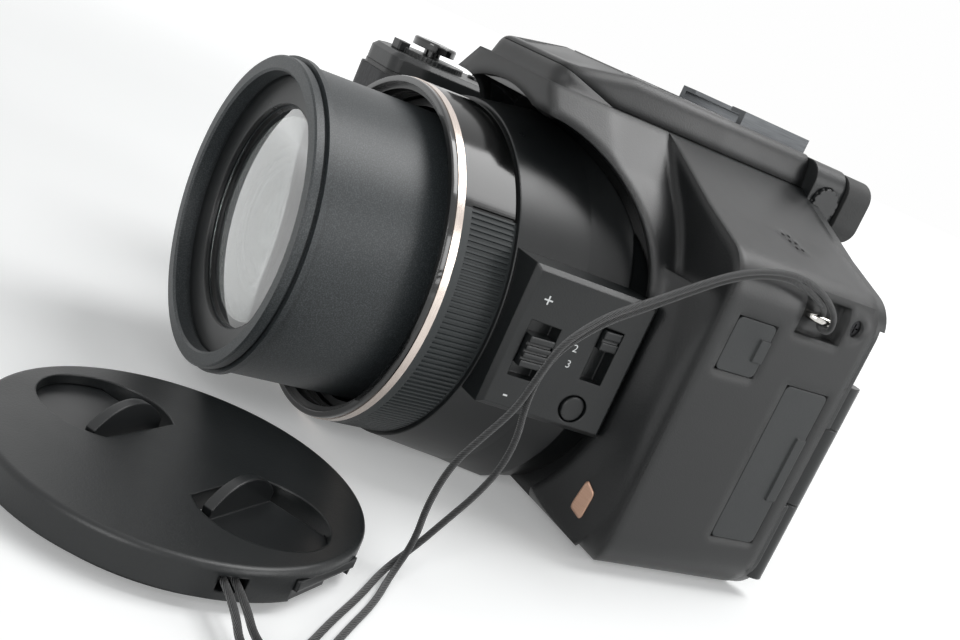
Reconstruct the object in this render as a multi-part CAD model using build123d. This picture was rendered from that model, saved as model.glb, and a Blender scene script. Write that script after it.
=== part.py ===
from build123d import *
import math
import os

os.makedirs("parts", exist_ok=True)

# Bridge camera with an extending zoom lens, its lens cap and the cap's leash, in millimetres.
# The origin is the mouth of the tripod socket, on the base. The lens points along -Y, +Z is up,
# and +X is the camera's own left, the side with the two connector doors.

# Driving dimensions of the body
AXIS_HEIGHT = 33.4
NOSE = 79.6
BODY_LEFT = 52.0
BODY_RIGHT = 72.3
BODY_FRONT = 13.0
BODY_REAR = 24.0
REAR_PLATE = 3.5
MONITOR_REAR = 30.0
DECK_HEIGHT = 62.0
DECK_COVER = 4.4
SEAM_HEIGHT = 75.7
COVER_RISE = 6.5
ROOF_HEIGHT = SEAM_HEIGHT + COVER_RISE
WALL = 2.0
CORNER = 8.0
FIT = 0.15
GAP = 0.3
OVERRUN = 1.0

# Driving dimensions of the lens
RIM_R = 28.4
TUBE_R = 28.2
TUBE_LENGTH = 48.0
TUBE_WALL = 1.6
THREAD_R = 25.6
GLASS_R = 20.3
MID_R = 30.2
MID_WALL = 1.3
MID_FRONT = 30.0
MID_LENGTH = 28.0
SLEEVE_R = 31.8
SLEEVE_WALL = 1.2
BARREL_FRONT = 23.7
RING_R = 33.0
NECK_SPREAD = 4.6
HOUSING_NECK_R = RING_R + NECK_SPREAD
RING_REAR = 37.6
PROW_FRONT = 40.5

body_front_y = -BODY_FRONT
body_rear_y = BODY_REAR
plate_rear_y = BODY_REAR + REAR_PLATE
barrel_bore_r = SLEEVE_R - SLEEVE_WALL
deck_top = DECK_HEIGHT + DECK_COVER


def behind_rim(distance):
    """Y of a place that far behind the front rim of the extended lens."""
    return distance - NOSE


def box_between(x, y, z):
    """Block between two values on each axis."""
    middle = Pos((x[0] + x[1]) / 2, (y[0] + y[1]) / 2, (z[0] + z[1]) / 2)
    return middle * Box(x[1] - x[0], y[1] - y[0], z[1] - z[0])


def around(middle, width):
    """Pair of values on both sides of a middle."""
    return (middle - width / 2, middle + width / 2)


def rod(axis, radius, start, end, a=0, b=0):
    """Round bar along one axis; a and b are its place on the two other axes, in X, Y, Z order."""
    bar = Cylinder(radius, end - start)
    middle = (start + end) / 2
    if axis == "x":
        return Pos(middle, a, b) * Rot(0, 90, 0) * bar
    if axis == "y":
        return Pos(a, middle, b) * Rot(90, 0, 0) * bar
    return Pos(a, b, middle) * bar


def lens_rod(radius, front, rear):
    """Round bar on the lens axis between two distances behind the rim."""
    return rod("y", radius, behind_rim(front), behind_rim(rear), 0, AXIS_HEIGHT)


def lens_ring(outer, inner, front, rear):
    """Tube on the lens axis between two distances behind the rim."""
    return lens_rod(outer, front, rear) - lens_rod(inner, front - OVERRUN, rear + OVERRUN)


def turned(points):
    """Solid of revolution about the lens axis; a point is a radius and a distance behind the rim."""
    outline = Polyline(*[(radius, behind_rim(distance)) for radius, distance in points], close=True)
    return Pos(0, 0, AXIS_HEIGHT) * revolve(make_face(outline), Axis.Y)


def rounded_face(points, radii):
    """Flat face through points, with a rounding radius for each corner."""
    return make_face(FilletPolyline(*points, radius=radii, close=True))


def along_y(face, front, rear):
    """Extrude a face drawn in X and Z from front to rear."""
    return extrude(Plane.XZ.offset(-rear) * face, rear - front)


def along_x(face, start, end):
    """Extrude a face drawn in Y and Z between two X values."""
    return extrude(Plane.YZ.offset(start) * face, end - start)


def along_z(face, bottom, top):
    """Extrude a face drawn in X and Y between two heights."""
    return extrude(Plane.XY.offset(bottom) * face, top - bottom)


def save(name, shape):
    """Write one node as a STEP file."""
    export_step(shape, f"parts/{name}.step")


# Body outline seen from the front
BASE_ROUND = 9.0
HUMP_HALF = 19.5
SHOULDER_EDGE_DROP = 13.5
SHOULDER_OUTER = SEAM_HEIGHT - SHOULDER_EDGE_DROP
SHOULDER_MIDDLE_X = 37.0
SHOULDER_DROP = 8.1
SHOULDER_MIDDLE = SEAM_HEIGHT - SHOULDER_DROP
SHOULDER_ROUND = 14.0


def body_outline(inset=0):
    """Section of the body across the lens axis, drawn in X and Z."""
    left = BODY_LEFT - inset
    right = -BODY_RIGHT + inset
    foot = AXIS_HEIGHT + HUMP_FOOT
    hump = HUMP_HALF - inset
    seam_half = hump - (SEAM_HEIGHT - foot) * math.tan(math.radians(HUMP_TAPER))
    points = [
        (right, inset),
        (left, inset),
        (left, SHOULDER_OUTER - inset),
        (SHOULDER_MIDDLE_X - inset, SHOULDER_MIDDLE - inset),
        (seam_half, SEAM_HEIGHT - inset),
        (-seam_half, SEAM_HEIGHT - inset),
        (-hump, foot),
        (-hump, DECK_HEIGHT - inset),
        (right, DECK_HEIGHT - inset),
    ]
    radii = [CORNER - inset, BASE_ROUND - inset, CORNER - inset, SHOULDER_ROUND, 0, 0, 0, 0, 0]
    return rounded_face(points, radii)


# Grip, seen from above
GRIP_FRONT = 38.0
GRIP_INNER = 46.0
GRIP_NOSE_X = 64.0
GRIP_SIDE_Y = 31.0
GRIP_ROOT = 4.0
GRIP_ROUND = 7.0


def grip_outline(inset=0):
    """Plan of the grip, drawn in X and Y."""
    points = [
        (-BODY_RIGHT + inset, 0),
        (-BODY_RIGHT + inset, -GRIP_SIDE_Y + inset),
        (-GRIP_NOSE_X, -GRIP_FRONT + inset),
        (-GRIP_INNER - GRIP_ROUND / 2, -GRIP_FRONT + inset),
        (-GRIP_INNER - inset, -GRIP_SIDE_Y),
        (-GRIP_INNER + GRIP_ROOT - inset, 0),
    ]
    round_r = GRIP_ROUND - inset
    return rounded_face(points, [0, round_r, round_r, round_r / 2, round_r, 0])


# Prow of the viewfinder hump, which runs forward over the lens
CHEEK_ANGLE = 42.0
PROW_STEP = 5.4
PROW_R = HOUSING_NECK_R + PROW_STEP
PROW_FALL = 2.7
PROW_FRONT_R = PROW_R - PROW_FALL
PROW_WIDE = 52.0
PROW_WALL = 1.4
PROW_REAR = 84.0
BROW_R = 21.0
BROW_DEPTH = 40.0
BROW_HEIGHT = 16.0
PROW_FOOT = 15.4
HUMP_FOOT_DROP = 6.3
HUMP_FOOT = SEAM_HEIGHT - AXIS_HEIGHT - HUMP_FOOT_DROP
HUMP_FRONT_HALF = 15.4
HUMP_TAPER = 12.0
HUMP_TAPER_LENGTH = 40.0
HUMP_ROUND = 4.0
ROOF_ROUND = 2.4
ROOF_FLAT_SHARE = 0.7
MIDDLE_SHARE = 0.5


def prow_cone(inset=0):
    """Round form about the lens axis that carries the cheeks beside the lens."""
    return turned([
        (0, PROW_FRONT),
        (PROW_FRONT_R - inset, PROW_FRONT),
        (PROW_R - inset, PROW_WIDE),
        (PROW_R - inset, PROW_REAR),
        (0, PROW_REAR),
    ])


def below_brow(step=0):
    """Everything ahead of and below the curved edge of the brow over the lens."""
    y = behind_rim(BROW_DEPTH)
    z = AXIS_HEIGHT + BROW_HEIGHT
    round_part = rod("x", BROW_R + step, -2 * PROW_R, 2 * PROW_R, y, z)
    ahead = box_between((-2 * PROW_R, 2 * PROW_R), (y - BROW_R * 2, y + OVERRUN), (z, z + BROW_R + step))
    under = box_between((-2 * PROW_R, 2 * PROW_R), (y - BROW_R * 2, BODY_REAR),
                        (-2 * PROW_R, AXIS_HEIGHT + PROW_FOOT))
    return round_part + ahead + under


def hump_form():
    """Viewfinder hump: a plan that widens to the rear, tapered upwards, under a sloping roof."""
    front = behind_rim(PROW_FRONT)
    wide_y = front + HUMP_TAPER_LENGTH
    rear_y = body_rear_y + CORNER
    plan = [
        (-HUMP_FRONT_HALF, front),
        (HUMP_FRONT_HALF, front),
        (HUMP_HALF, wide_y),
        (HUMP_HALF, rear_y),
        (-HUMP_HALF, rear_y),
        (-HUMP_HALF, wide_y),
    ]
    foot = AXIS_HEIGHT + HUMP_FOOT
    face = Plane.XY.offset(foot) * make_face(Polyline(*plan, close=True))
    form = extrude(face, ROOF_HEIGHT + OVERRUN - foot, taper=HUMP_TAPER)
    roof = [
        (front - OVERRUN, foot - OVERRUN),
        (front - OVERRUN, AXIS_HEIGHT + ROOF_FRONT_HEIGHT),
        (behind_rim(ROOF_RISE), ROOF_HEIGHT),
        (rear_y, ROOF_HEIGHT),
        (rear_y, foot - OVERRUN),
    ]
    form = form & along_x(make_face(Polyline(*roof, close=True)), -2 * HUMP_HALF, 2 * HUMP_HALF)
    upright = [edge for edge in form.edges() if edge.center().Y < front + CORNER and
               abs((edge % MIDDLE_SHARE).Z) > ROOF_FLAT_SHARE]
    form = fillet(upright, HUMP_ROUND)
    form = fillet(roof_edges(form, front), ROOF_ROUND)
    return form & box_between((-2 * HUMP_HALF, 2 * HUMP_HALF), (front - OVERRUN, body_rear_y),
                              (foot, ROOF_HEIGHT + OVERRUN))


def roof_edges(form, front):
    """Edges between the roof and the front and sides of the hump."""
    behind = [face for face in form.faces() if face.center().Z > SEAM_HEIGHT and
              abs(face.center().X) < OVERRUN and face.normal_at(face.center()).Z > ROOF_FLAT_SHARE]
    edges = []
    for face in behind:
        edges += [edge for edge in face.edges() if abs(edge.center().X) > HUMP_FRONT_HALF / 2 or
                  edge.center().Y < front + CORNER / 2]
    return edges


def seam_line(lift=0):
    """Seam between the hump and its cover, from the rear to the front, drawn in Y and Z."""
    return [
        (body_rear_y, SEAM_HEIGHT + lift),
        (behind_rim(SEAM_FRONT), SEAM_HEIGHT + lift),
        (behind_rim(ROOF_FRONT), AXIS_HEIGHT + ROOF_FRONT_HEIGHT + lift),
        (behind_rim(PROW_FRONT) - OVERRUN, AXIS_HEIGHT + PROW_TOP + lift),
    ]


def cover_space(lift=0):
    """Everything above the seam of the hump."""
    line = seam_line(lift)
    top = ROOF_HEIGHT + OVERRUN
    outline = line + [(line[-1][0], top), (line[0][0], top)]
    return along_x(make_face(Polyline(*outline, close=True)), -2 * HUMP_HALF, 2 * HUMP_HALF)


PROW_TOP_DROP = 4.2
PROW_TOP = ROOF_HEIGHT - AXIS_HEIGHT - PROW_TOP_DROP

# Shoulder, which falls forward beside the hump: distance behind the rim and height above the axis
SHOULDER_FALL = ((70.5, 33.3), (79.0, 40.6), (94.0, 44.6))
SHOULDER_FOOT = 24.0
SHOULDER_FALL_R = 20.0
FRONT_ROUND = 6.5

# Collar where the lens housing flares into the body
COLLAR_FRONT = 60.6
COLLAR_SEAT = 0.5
COLLAR_FRONT_R = HOUSING_NECK_R + COLLAR_SEAT
COLLAR_RIM = 64.4
COLLAR_FLARE = 8.9
COLLAR_RIM_R = HOUSING_NECK_R + COLLAR_FLARE
COLLAR_FADE = 7.5
COLLAR_FADE_R = COLLAR_RIM_R + COLLAR_FADE
COLLAR_ROUND = 14.0


def shoulder_form(inset=0):
    """Left part of the body seen from the side: front wall and falling shoulder, with a round edge."""
    rear_y = body_rear_y + 2 * CORNER
    fall = [(behind_rim(distance), AXIS_HEIGHT + height) for distance, height in SHOULDER_FALL]
    top = ROOF_HEIGHT + 2 * OVERRUN
    points = [(rear_y, top), (rear_y, -2 * OVERRUN), (body_front_y, -2 * OVERRUN),
              (body_front_y, AXIS_HEIGHT + SHOULDER_FOOT)] + fall + [(fall[-1][0], top)]
    radii = [0, 0, 0] + [SHOULDER_FALL_R] * len(fall) + [0, 0]
    form = along_x(rounded_face(points, radii), -BODY_LEFT, BODY_LEFT)
    edges = form.faces().sort_by(Axis.X)[-1].edges().filter_by_position(
        Axis.Z, 0, AXIS_HEIGHT + SHOULDER_FALL[-1][1] - OVERRUN / 2)
    edges = [edge for edge in edges if edge.center().Y < behind_rim(SHOULDER_FALL[-1][0])]
    return fillet(edges, FRONT_ROUND - inset)


def shoulder_cutter(inset=0):
    """Space ahead of and over the falling shoulder, from the far side of the hump outwards."""
    block = box_between((-HUMP_HALF, BODY_LEFT + OVERRUN), (body_front_y - OVERRUN, body_rear_y + CORNER),
                        (-OVERRUN, ROOF_HEIGHT + OVERRUN))
    return Pos(-inset, inset, -inset) * (block - shoulder_form(inset))


def cheek_form():
    """Flat cheeks from the seam of the hump down to the round form beside the lens."""
    sections = []
    for distance, radius, half in ((PROW_FRONT, PROW_FRONT_R, HUMP_FRONT_HALF),
                                   (PROW_WIDE, PROW_R, HUMP_HALF),
                                   (PROW_REAR, PROW_R, HUMP_HALF)):
        seam_half = half - (SEAM_HEIGHT - AXIS_HEIGHT - HUMP_FOOT) * math.tan(math.radians(HUMP_TAPER))
        low = (radius - GAP) * math.cos(math.radians(CHEEK_ANGLE))
        low_z = AXIS_HEIGHT + (radius - GAP) * math.sin(math.radians(CHEEK_ANGLE))
        points = [(0, AXIS_HEIGHT), (low, low_z), (seam_half, SEAM_HEIGHT), (-seam_half, SEAM_HEIGHT),
                  (-low, low_z)]
        sections.append(Plane.XZ.offset(-behind_rim(distance)) * make_face(Polyline(*points, close=True)))
    return loft(sections[:2], ruled=True) + loft(sections[1:], ruled=True)


def collar_form():
    """Flared collar round the root of the lens, which fades into the rounded side and base."""
    collar = turned([
        (0, COLLAR_FRONT),
        (COLLAR_FRONT_R, COLLAR_FRONT),
        (COLLAR_RIM_R, COLLAR_RIM),
        (COLLAR_FADE_R, body_front),
        (COLLAR_FADE_R, body_front + OVERRUN),
        (0, body_front + OVERRUN),
    ])
    front_y = behind_rim(COLLAR_FRONT) - OVERRUN
    plan = [(BODY_LEFT, 0), (BODY_LEFT, front_y), (-BODY_RIGHT, front_y), (-BODY_RIGHT, 0)]
    side = [(front_y, 0), (0, 0), (0, AXIS_HEIGHT + COLLAR_TOP), (front_y, AXIS_HEIGHT + COLLAR_TOP)]
    collar = collar & along_z(rounded_face(plan, [0, COLLAR_ROUND, 0, 0]), 0, AXIS_HEIGHT + COLLAR_TOP)
    return collar & along_x(rounded_face(side, [COLLAR_ROUND, 0, 0, 0]), -BODY_RIGHT, BODY_LEFT)


COLLAR_TOP = 21.0

# Recess, eyelet and screw on the left side
LUG_DEPTH = 90.0
LUG_HEIGHT = 57.0
LUG_RECESS_LENGTH = 12.0
LUG_RECESS_HEIGHT = 10.0
LUG_RECESS = 2.6
LUG_BACKING = 1.4
SIDE_SCREW_DEPTH = 98.6
SIDE_SCREW_HEIGHT = 57.4
SIDE_SCREW_R = 1.7
SIDE_SCREW_SINK = 1.6

# Doors on the left side: distance behind the rim, height above the lens axis
JACK_DOOR_FRONT = 70.5
JACK_DOOR_LENGTH = 9.5
JACK_DOOR_BOTTOM = 9.8
JACK_DOOR_HEIGHT = 10.1
PORT_DOOR_FRONT = 88.9
PORT_DOOR_LENGTH = 11.1
PORT_DOOR_BOTTOM = -21.2
PORT_DOOR_HEIGHT = 31.6
DOOR_THICKNESS = 1.2
DOOR_LEDGE = 1.2
DOOR_ROUND = 1.2

# Battery and its chamber in the grip
BATTERY_LENGTH = 36.0
BATTERY_WIDTH = 10.5
BATTERY_HEIGHT = 46.0
BATTERY_FRONT = -32.0
BATTERY_RIGHT = -67.0
BATTERY_BOTTOM = 3.4
BATTERY_DOOR_MARGIN = 2.0
BATTERY_DOOR_THICKNESS = 2.2

# Tripod socket, a quarter inch
TRIPOD_R = 3.175
TRIPOD_BOSS_R = 6.0
TRIPOD_LENGTH = 5.5
TRIPOD_FLANGE_R = 7.2

# Bosses that carry the inner chassis
BOSS_R = 2.6
BOSS_PLACES = ((44.5, 9.0), (38.5, 53.0), (-37.0, 9.0), (-37.0, 54.0))
CHASSIS_FRONT = 14.0
CHASSIS_THICKNESS = 1.2

# Speaker under the left shoulder
SPEAKER_X = 39.0
SPEAKER_DEPTH = 87.0
SPEAKER_R = 5.0
SPEAKER_THICKNESS = 2.6
SPEAKER_HOLE_R = 0.45
SPEAKER_HOLE_PITCH = 1.6
SPEAKER_SEAT = 62.0

# Flash bay in the hump
FLASH_FRONT = 46.0
FLASH_HINGE = 68.0
FLASH_HALF = 12.0
FLASH_BOX = 4.2
FLASH_LID = 1.6
FLASH_PIN_R = 1.0
FLASH_SETBACK = 1.4

# Viewfinder tunnel through the rear of the hump
FINDER_HALF = 9.0
FINDER_DROP = 17.7
FINDER_BOTTOM = ROOF_HEIGHT - FINDER_DROP
FINDER_FRONT = 86.0
EYE_HALF = 21.0
EYE_DROP = 14.2
EYE_BOTTOM = ROOF_HEIGHT - EYE_DROP
EYE_REAR = 9.0


def door_span(front, length, bottom, height):
    """Y and Z spans of a side door."""
    y0 = behind_rim(front)
    z0 = AXIS_HEIGHT + bottom
    return (y0, y0 + length), (z0, z0 + height)


jack_y, jack_z = door_span(JACK_DOOR_FRONT, JACK_DOOR_LENGTH, JACK_DOOR_BOTTOM, JACK_DOOR_HEIGHT)
port_y, port_z = door_span(PORT_DOOR_FRONT, PORT_DOOR_LENGTH, PORT_DOOR_BOTTOM, PORT_DOOR_HEIGHT)
battery_x = (BATTERY_RIGHT, BATTERY_RIGHT + BATTERY_WIDTH)
battery_y = (BATTERY_FRONT, BATTERY_FRONT + BATTERY_LENGTH)
battery_z = (BATTERY_BOTTOM, BATTERY_BOTTOM + BATTERY_HEIGHT)
battery_door_x = (battery_x[0] - BATTERY_DOOR_MARGIN / 2, battery_x[1] + BATTERY_DOOR_MARGIN * 2)
battery_door_y = (battery_y[0] - BATTERY_DOOR_MARGIN / 2, battery_y[1] + BATTERY_DOOR_MARGIN)
lug_y = behind_rim(LUG_DEPTH)
side_screw_y = behind_rim(SIDE_SCREW_DEPTH)
speaker_y = behind_rim(SPEAKER_DEPTH)


def grown(span, margin):
    """A span made longer at both ends."""
    return (span[0] - margin, span[1] + margin)


def door_cutter(y, z, margin):
    """Recess for a side door and the smaller window behind it."""
    skin = (BODY_LEFT - DOOR_THICKNESS - FIT, BODY_LEFT + OVERRUN)
    wall = (BODY_LEFT - WALL - OVERRUN, BODY_LEFT)
    recess = box_between(skin, grown(y, margin), grown(z, margin))
    window = box_between(wall, grown(y, -DOOR_LEDGE), grown(z, -DOOR_LEDGE))
    return recess + window


def bay_cutter():
    """Flash bay: a box under the roof, open upwards."""
    y = (behind_rim(FLASH_FRONT) - GAP, behind_rim(FLASH_HINGE) + FLASH_PIN_R + WALL / 2 + GAP)
    z = (SEAM_HEIGHT - FLASH_BOX, ROOF_HEIGHT + OVERRUN)
    return box_between((-FLASH_HALF - GAP, FLASH_HALF + GAP), y, z)


def trunk_form(inset=0):
    """Main body as one solid: its front section, its plan and its rounded front foot."""
    trunk = along_y(body_outline(inset), body_front_y + inset, body_rear_y)
    side = [
        (body_front_y + inset, inset),
        (body_rear_y + OVERRUN, inset),
        (body_rear_y + OVERRUN, ROOF_HEIGHT),
        (body_front_y + inset, ROOF_HEIGHT),
    ]
    foot = along_x(rounded_face(side, [FRONT_ROUND - inset, 0, 0, 0]), -BODY_RIGHT, BODY_LEFT)
    return trunk & foot


def make_front_case():
    """Front case: front wall, both sides, base, grip and the lower half of the hump."""
    trunk = trunk_form() - shoulder_cutter()
    grip = along_z(grip_outline(), 0, DECK_HEIGHT)
    grip = chamfer(grip.faces().sort_by(Axis.Z)[0].edges(), WALL)
    hump = hump_form() - cover_space()
    prow = (prow_cone() + cheek_form()) - below_brow() - cover_space()
    hollow = prow_cone(PROW_WALL)
    outside = trunk + grip + prow + hump + collar_form()
    cavity = trunk_form(WALL) - shoulder_cutter(WALL)
    chest = lens_rod(PROW_R - WALL, body_front + WALL, PROW_REAR)
    chest = chest & box_between(around(0, 2 * PROW_R), (body_front_y, body_rear_y),
                                (WALL, AXIS_HEIGHT + HUMP_FOOT))
    loft_space = along_z(grip_outline(WALL), battery_z[1] + WALL, DECK_HEIGHT - WALL)
    case = outside - cavity - chest - loft_space
    case = case - (hollow & along_z(prow_plan(), 0, ROOF_HEIGHT))
    case = case - lens_rod(SLEEVE_R + FIT, 0, SLEEVE_STEP + GAP)
    case = case - lens_rod(HOUSING_NECK_R - WALL / 2 + GAP, 0, body_front)
    case = case - bay_cutter()
    tunnel_y = (behind_rim(FINDER_FRONT) - GAP, body_rear_y + OVERRUN)
    tunnel_z = (FINDER_BOTTOM, SEAM_HEIGHT + OVERRUN)
    case = case - box_between((-FINDER_HALF - GAP, FINDER_HALF + GAP), tunnel_y, tunnel_z)
    for x, z in BOSS_PLACES:
        case = case + rod("y", BOSS_R, body_front_y + WALL / 2, CHASSIS_FRONT, x, z)
    for side in (1, -1):
        rear = (side_screw_y + SIDE_SCREW_R if side > 0 else lug_y + LUG_RECESS_LENGTH / 2) + LUG_BACKING
        backing = box_between(
            (BODY_LEFT - LUG_RECESS - LUG_BACKING, BODY_LEFT - WALL / 2),
            (lug_y - LUG_RECESS_LENGTH / 2 - LUG_BACKING, rear), around(LUG_HEIGHT, LUG_RECESS_HEIGHT))
        recess = box_between(
            (BODY_LEFT - LUG_RECESS, BODY_LEFT + OVERRUN),
            around(lug_y, LUG_RECESS_LENGTH), around(LUG_HEIGHT, LUG_RECESS_HEIGHT - 2 * LUG_BACKING))
        case = case + to_side(backing, side) - to_side(recess, side) - make_eyelet(side)
    case = case - rod("x", SIDE_SCREW_R, BODY_LEFT - SIDE_SCREW_SINK, BODY_LEFT + OVERRUN,
                      side_screw_y, SIDE_SCREW_HEIGHT)
    case = case - door_cutter(jack_y, jack_z, FIT) - door_cutter(port_y, port_z, FIT)
    for x, y in speaker_holes():
        case = case - rod("z", SPEAKER_HOLE_R, SPEAKER_SEAT, SEAM_HEIGHT, x, y)
    case = case - box_between(grown(battery_door_x, FIT), grown(battery_door_y, FIT),
                              (-OVERRUN, BATTERY_DOOR_THICKNESS + FIT))
    case = case - box_between(grown(battery_x, GAP), grown(battery_y, GAP), (0, battery_z[1] + GAP))
    case = case - rod("z", TRIPOD_BOSS_R, -OVERRUN, WALL + OVERRUN)
    for x, y in base_screw_places():
        case = case - rod("z", BASE_SCREW_R + FIT, -OVERRUN, WALL + OVERRUN, x, y)
    case = case - rod("z", SHUTTER_STEM_R + GAP, DECK_HEIGHT - WALL - SHUTTER_TRAVEL - OVERRUN,
                      DECK_HEIGHT + OVERRUN, SHUTTER_X, SHUTTER_Y)
    return case


def prow_plan():
    """Plan of the space under the prow that the glossy arch fills."""
    y = (behind_rim(PROW_FRONT) - OVERRUN, body_front_y)
    return make_face(Polyline((-2 * PROW_R, y[0]), (2 * PROW_R, y[0]), (2 * PROW_R, y[1]),
                              (-2 * PROW_R, y[1]), close=True))


def speaker_holes():
    """Six small holes in two short slanted rows."""
    places = []
    for row in (-1, 1):
        for column in (-1, 0, 1):
            x = SPEAKER_X + column * SPEAKER_HOLE_PITCH
            y = speaker_y + row * SPEAKER_HOLE_PITCH / 2 + column * SPEAKER_HOLE_PITCH / 2
            places.append((x, y))
    return places


# Screws in the base
BASE_SCREW_R = 1.6
BASE_SCREW_HEAD = 1.2


def base_screw_places():
    """Four screw places in the base, set in from the corners of the body."""
    inset = CORNER + BASE_SCREW_R
    left = BODY_LEFT - inset
    return [
        (left, body_rear_y - inset / 2),
        (left, inset / 2),
        (-left, body_rear_y - inset / 2),
        (-BODY_RIGHT + inset, body_rear_y - inset / 2),
    ]


def make_case_screws():
    """Screws in the base and the one beside the strap eyelet, each with a cross slot."""
    screws = []
    slot = BASE_SCREW_R * 1.2
    for x, y in base_screw_places():
        head = rod("z", BASE_SCREW_R, GAP, BASE_SCREW_HEAD + GAP, x, y)
        shank = rod("z", BASE_SCREW_R / 2, GAP, WALL + BASE_SCREW_HEAD, x, y)
        cross = box_between(around(x, slot), around(y, GAP), (0, GAP * 2))
        cross = cross + box_between(around(x, GAP), around(y, slot), (0, GAP * 2))
        screws.append(head + shank - cross)
    top = BODY_LEFT - SIDE_SCREW_SINK / 2
    head = rod("x", SIDE_SCREW_R - FIT, BODY_LEFT - SIDE_SCREW_SINK, top,
               side_screw_y, SIDE_SCREW_HEIGHT)
    cross = box_between((top - GAP, top + GAP), around(side_screw_y, slot),
                        around(SIDE_SCREW_HEIGHT, GAP))
    cross = cross + box_between((top - GAP, top + GAP), around(side_screw_y, GAP),
                                around(SIDE_SCREW_HEIGHT, slot))
    screws.append(head - cross)
    return Compound(children=screws)


# Monitor bay in the rear case
BAY_LEFT = 52.0
BAY_RIGHT = -25.0
BAY_BOTTOM = 4.5
BAY_TOP = 58.5
BAY_FLOOR = 1.2
MONITOR_HINGE_X = 48.6
HINGE_BOTTOM = 21.3
HINGE_TOP = 37.6
HINGE_ARM = 9.0
HINGE_R = 2.85
PIN_R = 0.9

# Buttons on the rear: place, radius
THUMB_X = -46.0
BUTTON_R = 2.6
BUTTON_PROUD = 0.7
BUTTON_TRAVEL = 0.6
PAD_HEIGHT = 28.0
PAD_R = 10.0
PAD_TILT_GAP = 0.8
SET_R = 3.6
PAD_SINK = 2.0

BUTTON_SPREAD = 13.5
REAR_BUTTONS = {
    "play_button": (THUMB_X + BUTTON_SPREAD, 45.0),
    "display_button": (THUMB_X + BUTTON_SPREAD, 12.5),
    "quick_menu_button": (THUMB_X - BUTTON_SPREAD, 12.5),
    "lock_button": (THUMB_X + 1.5, 57.0),
    "evf_button": (THUMB_X + 14.5, 56.5),
}

# Thumb wheel, let into the top rear corner
WHEEL_X = -61.0
WHEEL_Y = 21.4
WHEEL_R = 7.2
WHEEL_THICKNESS = 3.4
WHEEL_TOP = 58.5
WHEEL_PIN_R = 1.2
WHEEL_BRACKET = 1.0


def make_rear_case():
    """Rear case: the frame round the monitor, the thumb side and the eyepiece housing."""
    plate = along_y(body_outline(GAP / 2), body_rear_y, plate_rear_y)
    rear_edges = plate.faces().sort_by(Axis.Y)[-1].edges().filter_by_position(
        Axis.Z, 0, DECK_HEIGHT - OVERRUN)
    plate = chamfer(rear_edges, GAP * 3)
    eye_y = (body_rear_y, plate_rear_y + EYE_REAR - REAR_PLATE)
    eye = box_between((-EYE_HALF, EYE_HALF), eye_y, (EYE_BOTTOM, ROOF_HEIGHT - GAP))
    eye = fillet(eye.edges().filter_by(Axis.Y), GRIP_ROOT)
    case = plate + eye
    bay_floor_y = body_rear_y + BAY_FLOOR
    case = case - box_between((BAY_RIGHT, BAY_LEFT + OVERRUN), (bay_floor_y, MONITOR_REAR),
                              (BAY_BOTTOM, BAY_TOP))
    corner_y = (body_rear_y - OVERRUN, MONITOR_REAR)
    case = case - box_between((MONITOR_HINGE_X - HINGE_ARM / 2, BODY_LEFT + OVERRUN), corner_y,
                              (HINGE_BOTTOM - GAP, HINGE_TOP + GAP))
    case = case - box_between((-FINDER_HALF - GAP, FINDER_HALF + GAP),
                              (body_rear_y - OVERRUN, eye_y[1] + OVERRUN),
                              (EYE_BOTTOM + WALL, ROOF_HEIGHT - GAP - WALL))
    shoe_y = behind_rim(SHOE_FRONT)
    case = case - box_between(around(0, 2 * SHOE_HALF + 2 * FIT), (shoe_y, shoe_y + SHOE_LENGTH + FIT),
                              (SHOE_SEAT, ROOF_HEIGHT + OVERRUN))
    for x, z in REAR_BUTTONS.values():
        case = case - rod("y", BUTTON_R + FIT, body_rear_y + OVERRUN, MONITOR_REAR, x, z)
        case = case - rod("y", BUTTON_R / 2, body_rear_y - OVERRUN, MONITOR_REAR, x, z)
    case = case - rod("y", PAD_R + FIT, plate_rear_y - PAD_SINK, MONITOR_REAR, THUMB_X, PAD_HEIGHT)
    case = case - rod("y", SET_R / 2, body_rear_y - OVERRUN, MONITOR_REAR, THUMB_X, PAD_HEIGHT)
    case = case - rod("z", WHEEL_R + GAP, WHEEL_TOP - WHEEL_THICKNESS - GAP, WHEEL_TOP + GAP,
                      WHEEL_X, WHEEL_Y)
    case = case - rod("x", DIOPTRE_R + FIT, EYE_HALF - DIOPTRE_THICKNESS, EYE_HALF + OVERRUN,
                      DIOPTRE_Y, DIOPTRE_HEIGHT)
    for post in hinge_posts():
        case = case + post
    wheel_middle = WHEEL_TOP - WHEEL_THICKNESS / 2
    for sign in (-1, 1):
        inner = wheel_middle + sign * (WHEEL_THICKNESS / 2 + GAP)
        outer = inner + sign * WHEEL_BRACKET
        case = case + box_between(around(WHEEL_X, 3 * WHEEL_PIN_R),
                                  (WHEEL_Y - 2 * WHEEL_PIN_R, body_rear_y + OVERRUN),
                                  (min(inner, outer), max(inner, outer)))
    pin_half = WHEEL_THICKNESS / 2 + GAP + WHEEL_BRACKET
    case = case + rod("z", WHEEL_PIN_R - FIT / 3, wheel_middle - pin_half,
                      wheel_middle + pin_half, WHEEL_X, WHEEL_Y)
    case = case - box_between((-EYE_HALF - OVERRUN, -EYE_HALF + FLASH_KEY_SINK),
                              around(DIOPTRE_Y, FLASH_KEY_LENGTH + 2 * FIT),
                              around(DIOPTRE_HEIGHT, FLASH_KEY_HEIGHT + 2 * FIT))
    return case


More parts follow.
